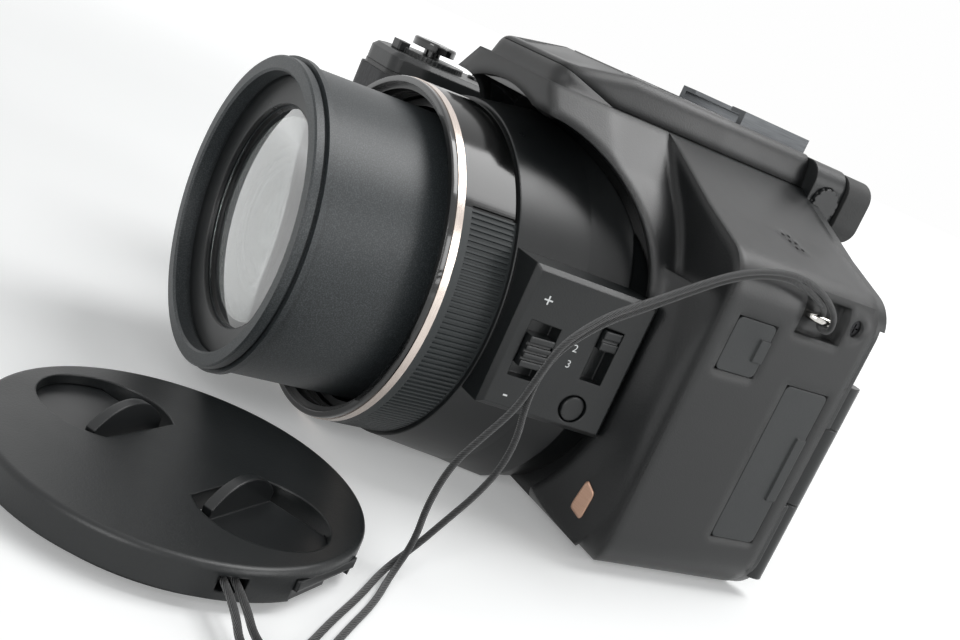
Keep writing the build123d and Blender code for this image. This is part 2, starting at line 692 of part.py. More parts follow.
# Dioptre wheel and flash key, on the sides of the eyepiece housing
DIOPTRE_R = 3.4
DIOPTRE_NOTCHES = 12
DIOPTRE_THICKNESS = 3.0
DIOPTRE_PROUD = 0.8
DIOPTRE_Y = 28.6
DIOPTRE_DROP = 7.7
DIOPTRE_HEIGHT = ROOF_HEIGHT - DIOPTRE_DROP
FLASH_KEY_LENGTH = 5.0
FLASH_KEY_HEIGHT = 3.4
FLASH_KEY_SINK = 2.6
FLASH_KEY_PROUD = 0.7


def make_dioptre_dial():
    """Small notched wheel that focuses the eyepiece."""
    dial = rod("x", DIOPTRE_R, EYE_HALF - DIOPTRE_THICKNESS + FIT, EYE_HALF + DIOPTRE_PROUD,
               DIOPTRE_Y, DIOPTRE_HEIGHT)
    for step in range(DIOPTRE_NOTCHES):
        angle = 2 * math.pi * step / DIOPTRE_NOTCHES
        y = DIOPTRE_Y + DIOPTRE_R * math.cos(angle)
        z = DIOPTRE_HEIGHT + DIOPTRE_R * math.sin(angle)
        dial = dial - rod("x", FIT * 2, EYE_HALF, EYE_HALF + DIOPTRE_PROUD + OVERRUN, y, z)
    return dial


def make_flash_button():
    """Key that releases the flash, on the far side of the eyepiece housing."""
    x = (-EYE_HALF - FLASH_KEY_PROUD, -EYE_HALF + FLASH_KEY_SINK - BUTTON_TRAVEL - FIT * 2)
    key = box_between(x, around(DIOPTRE_Y, FLASH_KEY_LENGTH), around(DIOPTRE_HEIGHT, FLASH_KEY_HEIGHT))
    return chamfer(key.faces().sort_by(Axis.X)[0].edges(), FIT)


# Roof of the hump
ROOF_FRONT = 43.0
ROOF_FRONT_DROP = 3.2
ROOF_FRONT_HEIGHT = ROOF_HEIGHT - AXIS_HEIGHT - ROOF_FRONT_DROP
ROOF_RISE = 58.0
SEAM_FRONT = 54.4
SHOE_FRONT = 88.0
SHOE_SINK = 1.0
SHOE_SEAT = ROOF_HEIGHT - SHOE_SINK
SHOE_HALF = 10.8
SHOE_LENGTH = 19.0


def make_hump_cover():
    """Roof of the hump, down to the seam, with the flash bay and the seat of the hot shoe."""
    cover = hump_form()
    cover = cover & cover_space(FIT)
    cover = cover - bay_cutter()
    shoe_y = behind_rim(SHOE_FRONT)
    cover = cover - box_between(around(0, 2 * SHOE_HALF + 2 * FIT),
                                (shoe_y - FIT, body_rear_y + OVERRUN),
                                (SHOE_SEAT, ROOF_HEIGHT + OVERRUN))
    tunnel_y = (behind_rim(FINDER_FRONT) - GAP, body_rear_y + OVERRUN)
    cover = cover - box_between((-FINDER_HALF - GAP, FINDER_HALF + GAP), tunnel_y,
                                (SEAM_HEIGHT - OVERRUN, SHOE_SEAT - WALL))
    pin_y = behind_rim(FLASH_HINGE)
    for side_x in (-1, 1):
        ear = rod("x", FLASH_PIN_R, FLASH_HALF - WALL, FLASH_HALF + OVERRUN, pin_y, flash_pin_z())
        cover = cover + (ear if side_x > 0 else mirror(ear, Plane.YZ))
    return cover


def flash_pin_z():
    """Height of the flash hinge."""
    return ROOF_HEIGHT - 2 * FLASH_PIN_R


def make_flash_head():
    """Pop-up flash: lid, lamp box and two hinge ears."""
    front = behind_rim(FLASH_FRONT)
    pin_y = behind_rim(FLASH_HINGE)
    pin_z = flash_pin_z()
    half = FLASH_HALF - GAP
    rise = (ROOF_HEIGHT - AXIS_HEIGHT - ROOF_FRONT_HEIGHT) * (FLASH_FRONT - ROOF_FRONT)
    front_z = AXIS_HEIGHT + ROOF_FRONT_HEIGHT + rise / (ROOF_RISE - ROOF_FRONT)
    side = [
        (front, front_z),
        (behind_rim(ROOF_RISE), ROOF_HEIGHT),
        (pin_y - FLASH_PIN_R, ROOF_HEIGHT),
        (pin_y - FLASH_PIN_R, ROOF_HEIGHT - FLASH_LID),
        (pin_y - FLASH_BOX, pin_z - FLASH_PIN_R),
        (pin_y - FLASH_BOX, SEAM_HEIGHT - FLASH_BOX + GAP * 3),
        (front + FLASH_SETBACK, SEAM_HEIGHT - FLASH_BOX + GAP * 3),
        (front + FLASH_SETBACK, front_z - FLASH_LID),
        (front, front_z - FLASH_LID),
    ]
    head = along_x(make_face(Polyline(*side, close=True)), -half, half)
    inner = half - GAP * 2
    window_top = front_z - FLASH_LID - GAP
    window = box_between((-inner, inner), (front - OVERRUN, front + FLASH_SETBACK + GAP * 3),
                         (window_top - FLASH_BOX / 2, window_top))
    head = head - window
    ear_x = half - WALL
    for side_x in (-1, 1):
        outer = half - GAP
        ear = box_between((ear_x, outer), (pin_y - FLASH_BOX - GAP, pin_y),
                          around(pin_z, 2 * FLASH_PIN_R + WALL))
        ear = ear + rod("x", FLASH_PIN_R + WALL / 2, ear_x, outer, pin_y, pin_z)
        hole = rod("x", FLASH_PIN_R + FIT / 3, ear_x - OVERRUN, half + OVERRUN, pin_y, pin_z)
        ear = ear if side_x > 0 else mirror(ear, Plane.YZ)
        hole = hole if side_x > 0 else mirror(hole, Plane.YZ)
        head = head + ear - hole
    return head


# Hot shoe to the usual 18.6 mm flash foot
SHOE_SLOT_HALF = 9.3
SHOE_MOUTH_HALF = 6.3
SHOE_BASE = 0.8
SHOE_SLOT = 2.1
SHOE_LIP = 0.9
SHOE_CONTACT_R = 1.2


def make_hot_shoe():
    """Bent metal shoe: base, two folded rails and the round centre contact."""
    section = [
        (-SHOE_HALF, 0),
        (SHOE_HALF, 0),
        (SHOE_HALF, SHOE_BASE + SHOE_SLOT + SHOE_LIP),
        (SHOE_MOUTH_HALF, SHOE_BASE + SHOE_SLOT + SHOE_LIP),
        (SHOE_MOUTH_HALF, SHOE_BASE + SHOE_SLOT),
        (SHOE_SLOT_HALF, SHOE_BASE + SHOE_SLOT),
        (SHOE_SLOT_HALF, SHOE_BASE),
        (-SHOE_SLOT_HALF, SHOE_BASE),
        (-SHOE_SLOT_HALF, SHOE_BASE + SHOE_SLOT),
        (-SHOE_MOUTH_HALF, SHOE_BASE + SHOE_SLOT),
        (-SHOE_MOUTH_HALF, SHOE_BASE + SHOE_SLOT + SHOE_LIP),
        (-SHOE_HALF, SHOE_BASE + SHOE_SLOT + SHOE_LIP),
    ]
    y0 = behind_rim(SHOE_FRONT)
    rails = along_y(make_face(Polyline(*section, close=True)), y0, y0 + SHOE_LENGTH)
    rails = Pos(0, 0, SHOE_SEAT) * rails
    contact = rod("z", SHOE_CONTACT_R, SHOE_SEAT + SHOE_BASE, SHOE_SEAT + SHOE_BASE + GAP,
                  0, y0 + SHOE_LENGTH / 2)
    return rails + contact


# Top deck and its controls
SHUTTER_X = -58.5
SHUTTER_Y = -25.0
SHUTTER_R = 5.2
SHUTTER_STEM_R = 2.0
SHUTTER_HEIGHT = 3.2
SHUTTER_TRAVEL = 1.2
LEVER_R = 8.2
LEVER_HEIGHT = 2.2
LEVER_GROOVES = 48
LEVER_NUB = 4.2
DIAL_X = -38.5
DIAL_Y = 4.0
DIAL_R = 9.4
DIAL_HEIGHT = 5.6
DIAL_NOTCHES = 40
DIAL_SINK = 1.4
SWITCH_X = -52.0
SWITCH_Y = 8.0
SWITCH_SLOT = 11.0
SWITCH_LENGTH = 6.0
SWITCH_WIDTH = 4.0
SWITCH_PROUD = 1.4
TOP_BUTTON_R = 2.4
BURST_PLACE = (-50.5, -8.0)
MOVIE_PLACE = (-60.0, -10.5)
TOP_SINK = 2.4


def deck_outline(inset=0):
    """Plan of the right deck, drawn in X and Y."""
    hump = -HUMP_HALF - inset
    points = [
        (hump, body_rear_y - inset),
        (-BODY_RIGHT + inset, body_rear_y - inset),
        (-BODY_RIGHT + inset, -GRIP_SIDE_Y + inset),
        (-GRIP_NOSE_X, -GRIP_FRONT + inset),
        (-GRIP_INNER - GRIP_ROUND / 2, -GRIP_FRONT + inset),
        (-GRIP_INNER - inset, -GRIP_SIDE_Y),
        (-GRIP_INNER + GRIP_ROOT - inset, body_front_y + inset),
        (hump, body_front_y + inset),
    ]
    round_r = GRIP_ROUND - inset
    return rounded_face(points, [0, round_r / 2, round_r, round_r, round_r / 2, round_r, 0, 0])


def make_top_cover():
    """Right deck, with a well for each control."""
    deck = along_z(deck_outline(GAP / 3), DECK_HEIGHT, deck_top)
    deck = deck - prow_cone(-FIT)
    rim = deck.faces().sort_by(Axis.Z)[-1].edges().filter_by_position(
        Axis.X, -BODY_RIGHT - OVERRUN, -GRIP_INNER + GRIP_ROOT - OVERRUN)
    deck = chamfer(rim, DECK_COVER / 4)
    deck = deck - rod("z", LEVER_R + GAP, deck_top - TOP_SINK / 2, deck_top + OVERRUN,
                      SHUTTER_X, SHUTTER_Y)
    deck = deck - rod("z", SHUTTER_STEM_R + GAP, DECK_HEIGHT - OVERRUN, deck_top + OVERRUN,
                      SHUTTER_X, SHUTTER_Y)
    deck = deck - rod("z", DIAL_R + GAP, deck_top - DIAL_SINK, deck_top + OVERRUN, DIAL_X, DIAL_Y)
    deck = deck - box_between(around(SWITCH_X, SWITCH_WIDTH + 2 * GAP), around(SWITCH_Y, SWITCH_SLOT),
                              (deck_top - TOP_SINK, deck_top + OVERRUN))
    for x, y in (BURST_PLACE, MOVIE_PLACE):
        deck = deck - rod("z", TOP_BUTTON_R + FIT, deck_top - TOP_SINK, deck_top + OVERRUN, x, y)
    return deck


def make_shutter_button():
    """Shutter release: a dished cap on a stem."""
    bottom = deck_top - TOP_SINK / 2 + LEVER_HEIGHT + SHUTTER_TRAVEL + FIT * 3
    top = bottom + SHUTTER_HEIGHT - SHUTTER_TRAVEL
    cap = rod("z", SHUTTER_R, bottom, top, SHUTTER_X, SHUTTER_Y)
    cap = fillet(cap.faces().sort_by(Axis.Z)[-1].edges(), GAP * 2)
    dish_r = SHUTTER_R * 4
    cap = cap - Pos(SHUTTER_X, SHUTTER_Y, top + dish_r - GAP) * Sphere(dish_r)
    stem = rod("z", SHUTTER_STEM_R, DECK_HEIGHT - WALL - GAP, bottom + FIT, SHUTTER_X, SHUTTER_Y)
    return cap + stem


def make_zoom_lever():
    """Ring round the shutter release, with a thumb nub at its front."""
    bottom = deck_top - TOP_SINK / 2 + FIT
    top = bottom + LEVER_HEIGHT
    ring = rod("z", LEVER_R, bottom, top, SHUTTER_X, SHUTTER_Y)
    ring = ring - rod("z", SHUTTER_STEM_R + GAP, bottom - OVERRUN, top + OVERRUN,
                      SHUTTER_X, SHUTTER_Y)
    for step in range(LEVER_GROOVES):
        angle = 2 * math.pi * step / LEVER_GROOVES
        x = SHUTTER_X + LEVER_R * math.cos(angle)
        y = SHUTTER_Y + LEVER_R * math.sin(angle)
        ring = ring - rod("z", FIT, bottom + LEVER_HEIGHT / 2, top + OVERRUN, x, y)
    nub_y = SHUTTER_Y - LEVER_R
    nub = box_between(around(SHUTTER_X, LEVER_NUB), (nub_y - LEVER_NUB / 3, nub_y + LEVER_NUB / 3),
                      (bottom + LEVER_HEIGHT / 2, top + LEVER_HEIGHT / 2))
    nub = fillet(nub.edges().filter_by(Axis.Z), GAP * 2)
    return ring + nub


def make_mode_dial():
    """Mode dial with a fine notched rim."""
    bottom = deck_top - DIAL_SINK + FIT
    top = bottom + DIAL_HEIGHT
    dial = rod("z", DIAL_R, bottom, top, DIAL_X, DIAL_Y)
    dial = chamfer(dial.faces().sort_by(Axis.Z)[-1].edges(), GAP * 2)
    for step in range(DIAL_NOTCHES):
        angle = 2 * math.pi * step / DIAL_NOTCHES
        x = DIAL_X + DIAL_R * math.cos(angle)
        y = DIAL_Y + DIAL_R * math.sin(angle)
        dial = dial - rod("z", GAP, bottom + DIAL_HEIGHT / 2, top + OVERRUN, x, y)
    return dial


def make_power_switch():
    """Sliding power switch with three ribs."""
    slide_y = SWITCH_Y - (SWITCH_SLOT - SWITCH_LENGTH) / 2 + GAP
    z = (deck_top - TOP_SINK + FIT, deck_top + SWITCH_PROUD)
    knob = box_between(around(SWITCH_X, SWITCH_WIDTH), around(slide_y, SWITCH_LENGTH), z)
    for step in (-1, 0, 1):
        groove_y = slide_y + step * SWITCH_LENGTH / 4
        knob = knob - box_between(around(SWITCH_X, SWITCH_WIDTH + OVERRUN), around(groove_y, GAP),
                                  (z[1] - GAP, z[1] + OVERRUN))
    return knob


def make_top_button(place):
    """Small round button in a well of the deck."""
    bottom = deck_top - TOP_SINK + BUTTON_TRAVEL + FIT
    cap = rod("z", TOP_BUTTON_R, bottom, deck_top + BUTTON_PROUD, place[0], place[1])
    return chamfer(cap.faces().sort_by(Axis.Z)[-1].edges(), FIT)


def make_rear_button(place):
    """Small round button in a well of the rear case."""
    front = body_rear_y + OVERRUN + BUTTON_TRAVEL + FIT
    cap = rod("y", BUTTON_R, front, plate_rear_y + BUTTON_PROUD, place[0], place[1])
    return chamfer(cap.faces().sort_by(Axis.Y)[-1].edges(), FIT)


def make_four_way_pad():
    """Ring-shaped pad round the set button."""
    front = plate_rear_y - PAD_SINK + PAD_TILT_GAP
    pad = rod("y", PAD_R, front, plate_rear_y + BUTTON_PROUD, THUMB_X, PAD_HEIGHT)
    pad = chamfer(pad.faces().sort_by(Axis.Y)[-1].edges(), GAP)
    return pad - rod("y", SET_R + FIT, front - OVERRUN, MONITOR_REAR, THUMB_X, PAD_HEIGHT)


def make_set_button():
    """Round button in the middle of the pad."""
    front = plate_rear_y - PAD_SINK + PAD_TILT_GAP
    cap = rod("y", SET_R, front, plate_rear_y + BUTTON_PROUD, THUMB_X, PAD_HEIGHT)
    return chamfer(cap.faces().sort_by(Axis.Y)[-1].edges(), FIT)


def make_rear_dial():
    """Thumb wheel on an upright axle."""
    wheel = rod("z", WHEEL_R, WHEEL_TOP - WHEEL_THICKNESS, WHEEL_TOP, WHEEL_X, WHEEL_Y)
    notches = 30
    for step in range(notches):
        angle = 2 * math.pi * step / notches
        x = WHEEL_X + WHEEL_R * math.cos(angle)
        y = WHEEL_Y + WHEEL_R * math.sin(angle)
        wheel = wheel - rod("z", GAP, WHEEL_TOP - WHEEL_THICKNESS - OVERRUN, WHEEL_TOP + OVERRUN, x, y)
    return wheel - rod("z", WHEEL_PIN_R, WHEEL_TOP - WHEEL_THICKNESS - OVERRUN,
                       WHEEL_TOP + OVERRUN, WHEEL_X, WHEEL_Y)


# Monitor
MONITOR_LEFT = 43.6
MONITOR_SCREEN_MARGIN = 4.6
MONITOR_SCREEN = 1.0


def make_lcd_frame():
    """Monitor housing with a recess for the screen."""
    x = (BAY_RIGHT + GAP, MONITOR_LEFT)
    z = (BAY_BOTTOM + GAP, BAY_TOP - GAP)
    frame = box_between(x, (body_rear_y + BAY_FLOOR + FIT, MONITOR_REAR), z)
    frame = fillet(frame.edges().filter_by(Axis.Y), GAP * 4)
    frame = chamfer(frame.faces().sort_by(Axis.Y)[-1].edges(), GAP)
    recess = box_between(grown(x, -MONITOR_SCREEN_MARGIN / 2), (MONITOR_REAR - MONITOR_SCREEN,
                         MONITOR_REAR + OVERRUN), grown(z, -MONITOR_SCREEN_MARGIN / 2))
    return frame - recess


def make_lcd_screen():
    """Screen and its front window."""
    x = grown((BAY_RIGHT + GAP, MONITOR_LEFT), -MONITOR_SCREEN_MARGIN / 2 - FIT)
    z = grown((BAY_BOTTOM + GAP, BAY_TOP - GAP), -MONITOR_SCREEN_MARGIN / 2 - FIT)
    return box_between(x, (MONITOR_REAR - MONITOR_SCREEN, MONITOR_REAR - FIT), z)


def monitor_hinge_y():
    """Y of the monitor's upright hinge."""
    return MONITOR_REAR - HINGE_R


def make_lcd_hinge():
    """Hinge knuckle at the side, with an arm to the monitor and two pin stubs."""
    hinge_y = monitor_hinge_y()
    z = (HINGE_BOTTOM, HINGE_TOP)
    knuckle = rod("z", HINGE_R, z[0], z[1], MONITOR_HINGE_X, hinge_y)
    arm = box_between((MONITOR_LEFT, MONITOR_HINGE_X), (body_rear_y + BAY_FLOOR + FIT, MONITOR_REAR), z)
    pin = rod("z", PIN_R, z[0] - WALL, z[1] + WALL, MONITOR_HINGE_X, hinge_y)
    return knuckle + arm + pin


def hinge_posts():
    """Two posts of the rear case that hold the monitor's hinge pins."""
    hinge_y = monitor_hinge_y()
    posts = []
    for start, end in ((BAY_BOTTOM, HINGE_BOTTOM - GAP), (HINGE_TOP + GAP, HINGE_TOP + HINGE_ARM)):
        post = rod("z", HINGE_R, start, end, MONITOR_HINGE_X, hinge_y)
        posts.append(post - rod("z", PIN_R + FIT / 3, start - OVERRUN, end + OVERRUN,
                                MONITOR_HINGE_X, hinge_y))
    return posts


# Eyepiece
CUP_HALF = 22.0
CUP_HEIGHT = 13.4
CUP_BOTTOM = 68.2
CUP_LENGTH = 7.5
CUP_WALL = 2.4


def make_eyecup():
    """Rubber eyecup, open in the middle."""
    y0 = plate_rear_y + EYE_REAR - REAR_PLATE
    z = (CUP_BOTTOM, CUP_BOTTOM + CUP_HEIGHT)
    cup = box_between((-CUP_HALF, CUP_HALF), (y0, y0 + CUP_LENGTH), z)
    cup = fillet(cup.edges().filter_by(Axis.Y), GRIP_ROOT)
    cup = fillet(cup.faces().sort_by(Axis.Y)[-1].edges(), GAP * 3)
    hole = box_between((-FINDER_HALF - WALL, FINDER_HALF + WALL), (y0 - OVERRUN, y0 + CUP_LENGTH + OVERRUN),
                       grown(z, -CUP_WALL))
    return cup - fillet(hole.edges().filter_by(Axis.Y), WALL)


def make_viewfinder():
    """Viewfinder block: eye lens in front of a small display, in one carrier."""
    y = (behind_rim(FINDER_FRONT), plate_rear_y + EYE_REAR - REAR_PLATE)
    z = (EYE_BOTTOM + WALL + FIT, SHOE_SEAT - WALL - GAP)
    block = box_between((-FINDER_HALF, FINDER_HALF), y, z)
    eye_z = (z[0] + z[1]) / 2
    lens_r = (z[1] - z[0]) / 2 - GAP
    block = block - rod("y", lens_r, y[1] - WALL, y[1] + OVERRUN, 0, eye_z)
    lens = rod("y", lens_r - FIT, y[1] - WALL, y[1] - GAP, 0, eye_z)
    return Compound(children=[block, lens])


# Fixed barrel and its rings
CHROME_FRONT = 24.9
CHROME_REAR = 26.4
RIB_FRONT = 28.0
RIB_PITCH = 1.0
RIB_DEPTH = 0.35
PANEL_HALF_ANGLE = 56.0
BARREL_REAR = 93.4
SLEEVE_STEP = 72.0
SENSOR_R = 18.5


def make_barrel_sleeve():
    """Fixed inner barrel with three thread grooves and a narrow rear part round the sensor unit."""
    sleeve = turned([
        (barrel_bore_r, CHROME_FRONT),
        (SLEEVE_R, CHROME_FRONT),
        (SLEEVE_R, SLEEVE_STEP),
        (SENSOR_R + FIT + SLEEVE_WALL, SLEEVE_STEP),
        (SENSOR_R + FIT + SLEEVE_WALL, BARREL_REAR),
        (SENSOR_R + FIT, BARREL_REAR),
        (SENSOR_R + FIT, SLEEVE_STEP - SLEEVE_WALL),
        (barrel_bore_r, SLEEVE_STEP - SLEEVE_WALL),
    ])
    for step in range(3):
        front = CHROME_REAR + step * WALL
        sleeve = sleeve - lens_ring(barrel_bore_r + FIT * 2, barrel_bore_r - OVERRUN, front, front + OVERRUN)
    return sleeve


def make_front_trim_ring():
    """Dark ring at the mouth of the barrel."""
    lip = SLEEVE_R - FIT
    return turned([
        (lip, BARREL_FRONT),
        (RING_R - GAP, BARREL_FRONT),
        (RING_R - FIT, BARREL_FRONT + GAP),
        (RING_R - FIT, CHROME_FRONT),
        (lip, CHROME_FRONT),
    ])


def make_chrome_ring():
    """Bright ring pressed over the barrel."""
    return lens_ring(RING_R, SLEEVE_R + FIT / 3, CHROME_FRONT, CHROME_REAR)


HALF_TURN = 180


def ring_section():
    """Section of the grip ring: ribs on both flanks, a smooth panel on top and a plain foot."""
    points = []
    ribs = int(2 * math.pi * RING_R / RIB_PITCH)
    for step in range(ribs):
        angle = 360 * step / ribs
        from_top = abs((angle + HALF_TURN / 2) % (2 * HALF_TURN) - HALF_TURN)
        ribbed = PANEL_HALF_ANGLE < from_top < HALF_TURN - PANEL_HALF_ANGLE / 4
        for share, depth in ((0.0, 0), (0.35, 0), (0.45, RIB_DEPTH), (0.9, RIB_DEPTH)):
            turn = math.radians(angle + share * 360 / ribs)
            radius = RING_R - (depth if ribbed else 0)
            points.append((radius * math.cos(turn), AXIS_HEIGHT + radius * math.sin(turn)))
    return make_face(Polyline(*points, close=True))


def make_ribbed_ring():
    """Grip ring round the barrel."""
    ribs = along_y(ring_section(), behind_rim(RIB_FRONT), behind_rim(RING_REAR - GAP * 2))
    ring = ribs + lens_rod(RING_R, CHROME_REAR, RIB_FRONT) + lens_rod(RING_R - GAP, RING_REAR - GAP * 2, RING_REAR)
    return ring - lens_rod(SLEEVE_R + FIT / 3, 0, NOSE)


# Housing behind the grip ring
HOUSING_FRONT_STEP = 0.6
HOUSING_FRONT_R = RING_R + HOUSING_FRONT_STEP
HOUSING_MIDDLE = 52.0
HOUSING_MIDDLE_STEP = 2.6
HOUSING_MIDDLE_R = RING_R + HOUSING_MIDDLE_STEP
HOUSING_FOOT = 0.3
body_front = NOSE - BODY_FRONT


def housing_form(grow=0):
    """Outer form of the lens housing, as one solid, with a spigot in the collar."""
    spigot_r = HOUSING_NECK_R - WALL / 2 + grow
    form = turned([
        (0, RING_REAR),
        (HOUSING_FRONT_R + grow, RING_REAR),
        (HOUSING_MIDDLE_R + grow, HOUSING_MIDDLE),
        (HOUSING_NECK_R + grow, COLLAR_FRONT - FIT),
        (spigot_r, COLLAR_FRONT - FIT),
        (spigot_r, body_front),
        (0, body_front),
    ])
    return form


def make_lens_housing():
    """Housing shell, flat at the foot."""
    foot = box_between(around(0, 4 * HOUSING_NECK_R), (-NOSE, 0), (-AXIS_HEIGHT, HOUSING_FOOT))
    return housing_form() - lens_rod(SLEEVE_R + FIT, 0, NOSE) - foot


def make_crescent_arch():
    """Glossy arch that closes the gap between the housing and the brow."""
    arch = prow_cone(PROW_WALL + FIT) - housing_form(FIT) - below_brow(BROW_STEP)
    ahead = box_between(around(0, 4 * PROW_R), (-NOSE, behind_rim(PROW_FRONT) + BROW_STEP), (0, 2 * PROW_R))
    behind = box_between(around(0, 4 * PROW_R), (body_front_y, BODY_REAR), (0, 2 * PROW_R))
    arch = arch - ahead - behind - bay_cutter() - cover_space()
    arch = arch - turned([
        (0, COLLAR_FRONT - FIT),
        (COLLAR_FRONT_R + FIT, COLLAR_FRONT - FIT),
        (COLLAR_RIM_R + FIT, COLLAR_RIM - FIT),
        (COLLAR_RIM_R + FIT, NOSE),
        (0, NOSE),
    ])
    return arch.solids().sort_by(SortBy.VOLUME)[-1]


BROW_STEP = 0.8

# Control panel on the left of the housing
PANEL_FRONT = 37.9
PANEL_REAR = 62.0
PANEL_BOTTOM = -11.3
PANEL_TOP = 15.0
PANEL_FRONT_X = 38.0
PANEL_REAR_X = 42.8
ROCKER_DEPTH = 43.6
ROCKER_LENGTH = 5.2
ROCKER_HEIGHT = 5.6
ROCKER_SLOT = 10.4
ROCKER_PROUD = 1.0
ROCKER_MIDDLE = 0.4
POCKET = 2.4
SLIDER_DEPTH = 55.6
SLIDER_LENGTH = 3.6
SLIDER_HEIGHT = 3.6
SLIDER_SLOT = 10.2
SLIDER_MIDDLE = 3.4
FOCUS_DEPTH = 54.7
FOCUS_HEIGHT = -7.2
FOCUS_R = 2.3


def panel_x(distance):
    """X of the panel's face at a distance behind the rim."""
    share = (distance - PANEL_FRONT) / (PANEL_REAR - PANEL_FRONT)
    return PANEL_FRONT_X + (PANEL_REAR_X - PANEL_FRONT_X) * share


def collar_space():
    """Space of the collar with a seam's gap in front of it."""
    return turned([
        (0, COLLAR_FRONT - FIT),
        (COLLAR_FRONT_R, COLLAR_FRONT - FIT),
        (COLLAR_RIM_R, COLLAR_RIM - FIT),
        (COLLAR_RIM_R * 2, COLLAR_RIM - FIT),
        (COLLAR_RIM_R * 2, NOSE),
        (0, NOSE),
    ])


def make_side_panel():
    """Raised control panel with a rocker pocket, a slider slot and a button well."""
    plan = [
        (0, behind_rim(PANEL_FRONT)),
        (PANEL_FRONT_X, behind_rim(PANEL_FRONT)),
        (PANEL_REAR_X, behind_rim(PANEL_REAR)),
        (0, behind_rim(PANEL_REAR)),
    ]
    z = (AXIS_HEIGHT + PANEL_BOTTOM, AXIS_HEIGHT + PANEL_TOP)
    panel = along_z(make_face(Polyline(*plan, close=True)), z[0], z[1])
    face = panel.faces().sort_by(Axis.X)[-1]
    panel = chamfer(face.edges(), GAP * 3)
    panel = panel - housing_form(FIT / 3)
    panel = panel - collar_space()
    panel = panel.solids().sort_by(Axis.X)[-1]
    rocker_face = panel_x(ROCKER_DEPTH)
    panel = panel - box_between((rocker_face - POCKET, BODY_LEFT),
                                around(behind_rim(ROCKER_DEPTH), ROCKER_LENGTH + 2 * GAP),
                                around(AXIS_HEIGHT + ROCKER_MIDDLE, ROCKER_SLOT))
    slider_face = panel_x(SLIDER_DEPTH)
    panel = panel - box_between((slider_face - POCKET, BODY_LEFT),
                                around(behind_rim(SLIDER_DEPTH), SLIDER_LENGTH + 2 * GAP),
                                around(AXIS_HEIGHT + SLIDER_MIDDLE, SLIDER_SLOT))
    focus_face = panel_x(FOCUS_DEPTH)
    panel = panel - rod("x", FOCUS_R + FIT * 2, focus_face - POCKET, BODY_LEFT,
                        behind_rim(FOCUS_DEPTH), AXIS_HEIGHT + FOCUS_HEIGHT)
    return panel


def make_zoom_rocker():
    """Ribbed zoom rocker in the side panel."""
    face = panel_x(ROCKER_DEPTH)
    x = (face - POCKET + FIT, face + ROCKER_PROUD)
    y = around(behind_rim(ROCKER_DEPTH), ROCKER_LENGTH)
    middle = AXIS_HEIGHT + ROCKER_MIDDLE
    rocker = box_between(x, y, around(middle, ROCKER_HEIGHT))
    for step in (-1, 0, 1):
        groove_z = middle + step * ROCKER_HEIGHT / 4
        rocker = rocker - box_between((x[1] - GAP * 2, x[1] + OVERRUN), grown(y, OVERRUN), around(groove_z, GAP * 2))
    return rocker


def make_focus_slider():
    """Three-place focus slider, at its top place."""
    face = panel_x(SLIDER_DEPTH)
    x = (face - POCKET + FIT, face + GAP * 2)
    y = around(behind_rim(SLIDER_DEPTH), SLIDER_LENGTH)
    top = AXIS_HEIGHT + SLIDER_MIDDLE + SLIDER_SLOT / 2 - GAP
    knob = box_between(x, y, (top - SLIDER_HEIGHT, top))
    groove = box_between((x[1] - GAP, x[1] + OVERRUN), grown(y, OVERRUN), around(top - SLIDER_HEIGHT / 2, GAP * 2))
    return knob - groove


def make_focus_button():
    """Round focus button at the foot of the panel."""
    face = panel_x(FOCUS_DEPTH)
    cap = rod("x", FOCUS_R, face - POCKET + BUTTON_TRAVEL + FIT, face + FIT,
              behind_rim(FOCUS_DEPTH), AXIS_HEIGHT + FOCUS_HEIGHT)
    return chamfer(cap.faces().sort_by(Axis.X)[-1].edges(), FIT)


# Extending lens
RIM_GROOVE = 1.7
FLANGE_FRONT = 2.3
FLANGE_REAR = 3.4
FLANGE_R = 29.0
GLASS_EDGE = 5.0
GLASS_THICKNESS = 4.0
GLASS_SAG = 1.6
BEZEL_R = 20.7
BEZEL_WALL = 1.4
LEDGE_R = 18.6
NAME_FRONT = 3.3
THREAD_REAR = 2.8
NAME_SEAT = 0.3
MOUTH_EDGE = 0.4


def make_lens_tube():
    """Extending tube: rim with the filter mouth, flange, long tube and the seat of the front glass."""
    inner = TUBE_R - TUBE_WALL
    seat_rear = GLASS_EDGE + GLASS_THICKNESS
    return turned([
        (THREAD_R + MOUTH_EDGE, 0),
        (RIM_R - GAP, 0),
        (RIM_R, GAP),
        (RIM_R, RIM_GROOVE),
        (TUBE_R - GAP, RIM_GROOVE),
        (TUBE_R - GAP, FLANGE_FRONT),
        (FLANGE_R, FLANGE_FRONT),
        (FLANGE_R, FLANGE_REAR),
        (TUBE_R, FLANGE_REAR),
        (TUBE_R, TUBE_LENGTH),
        (inner, TUBE_LENGTH),
        (inner, seat_rear + BEZEL_WALL),
        (LEDGE_R, seat_rear + BEZEL_WALL),
        (LEDGE_R, seat_rear),
        (GLASS_R + FIT / 3, seat_rear),
        (GLASS_R + FIT / 3, GLASS_EDGE),
        (THREAD_R + NAME_SEAT, GLASS_EDGE),
        (THREAD_R + NAME_SEAT, THREAD_REAR),
        (THREAD_R, THREAD_REAR),
        (THREAD_R, MOUTH_EDGE),
    ])


def make_name_ring():
    """Bezel ring between the filter mouth and the glass, with a short inner lip."""
    outer = THREAD_R + NAME_SEAT - FIT / 3
    return turned([
        (outer, NAME_FRONT + FIT / 3),
        (outer, GLASS_EDGE),
        (BEZEL_R, GLASS_EDGE),
        (BEZEL_R, NAME_FRONT + GAP * 2),
    ])


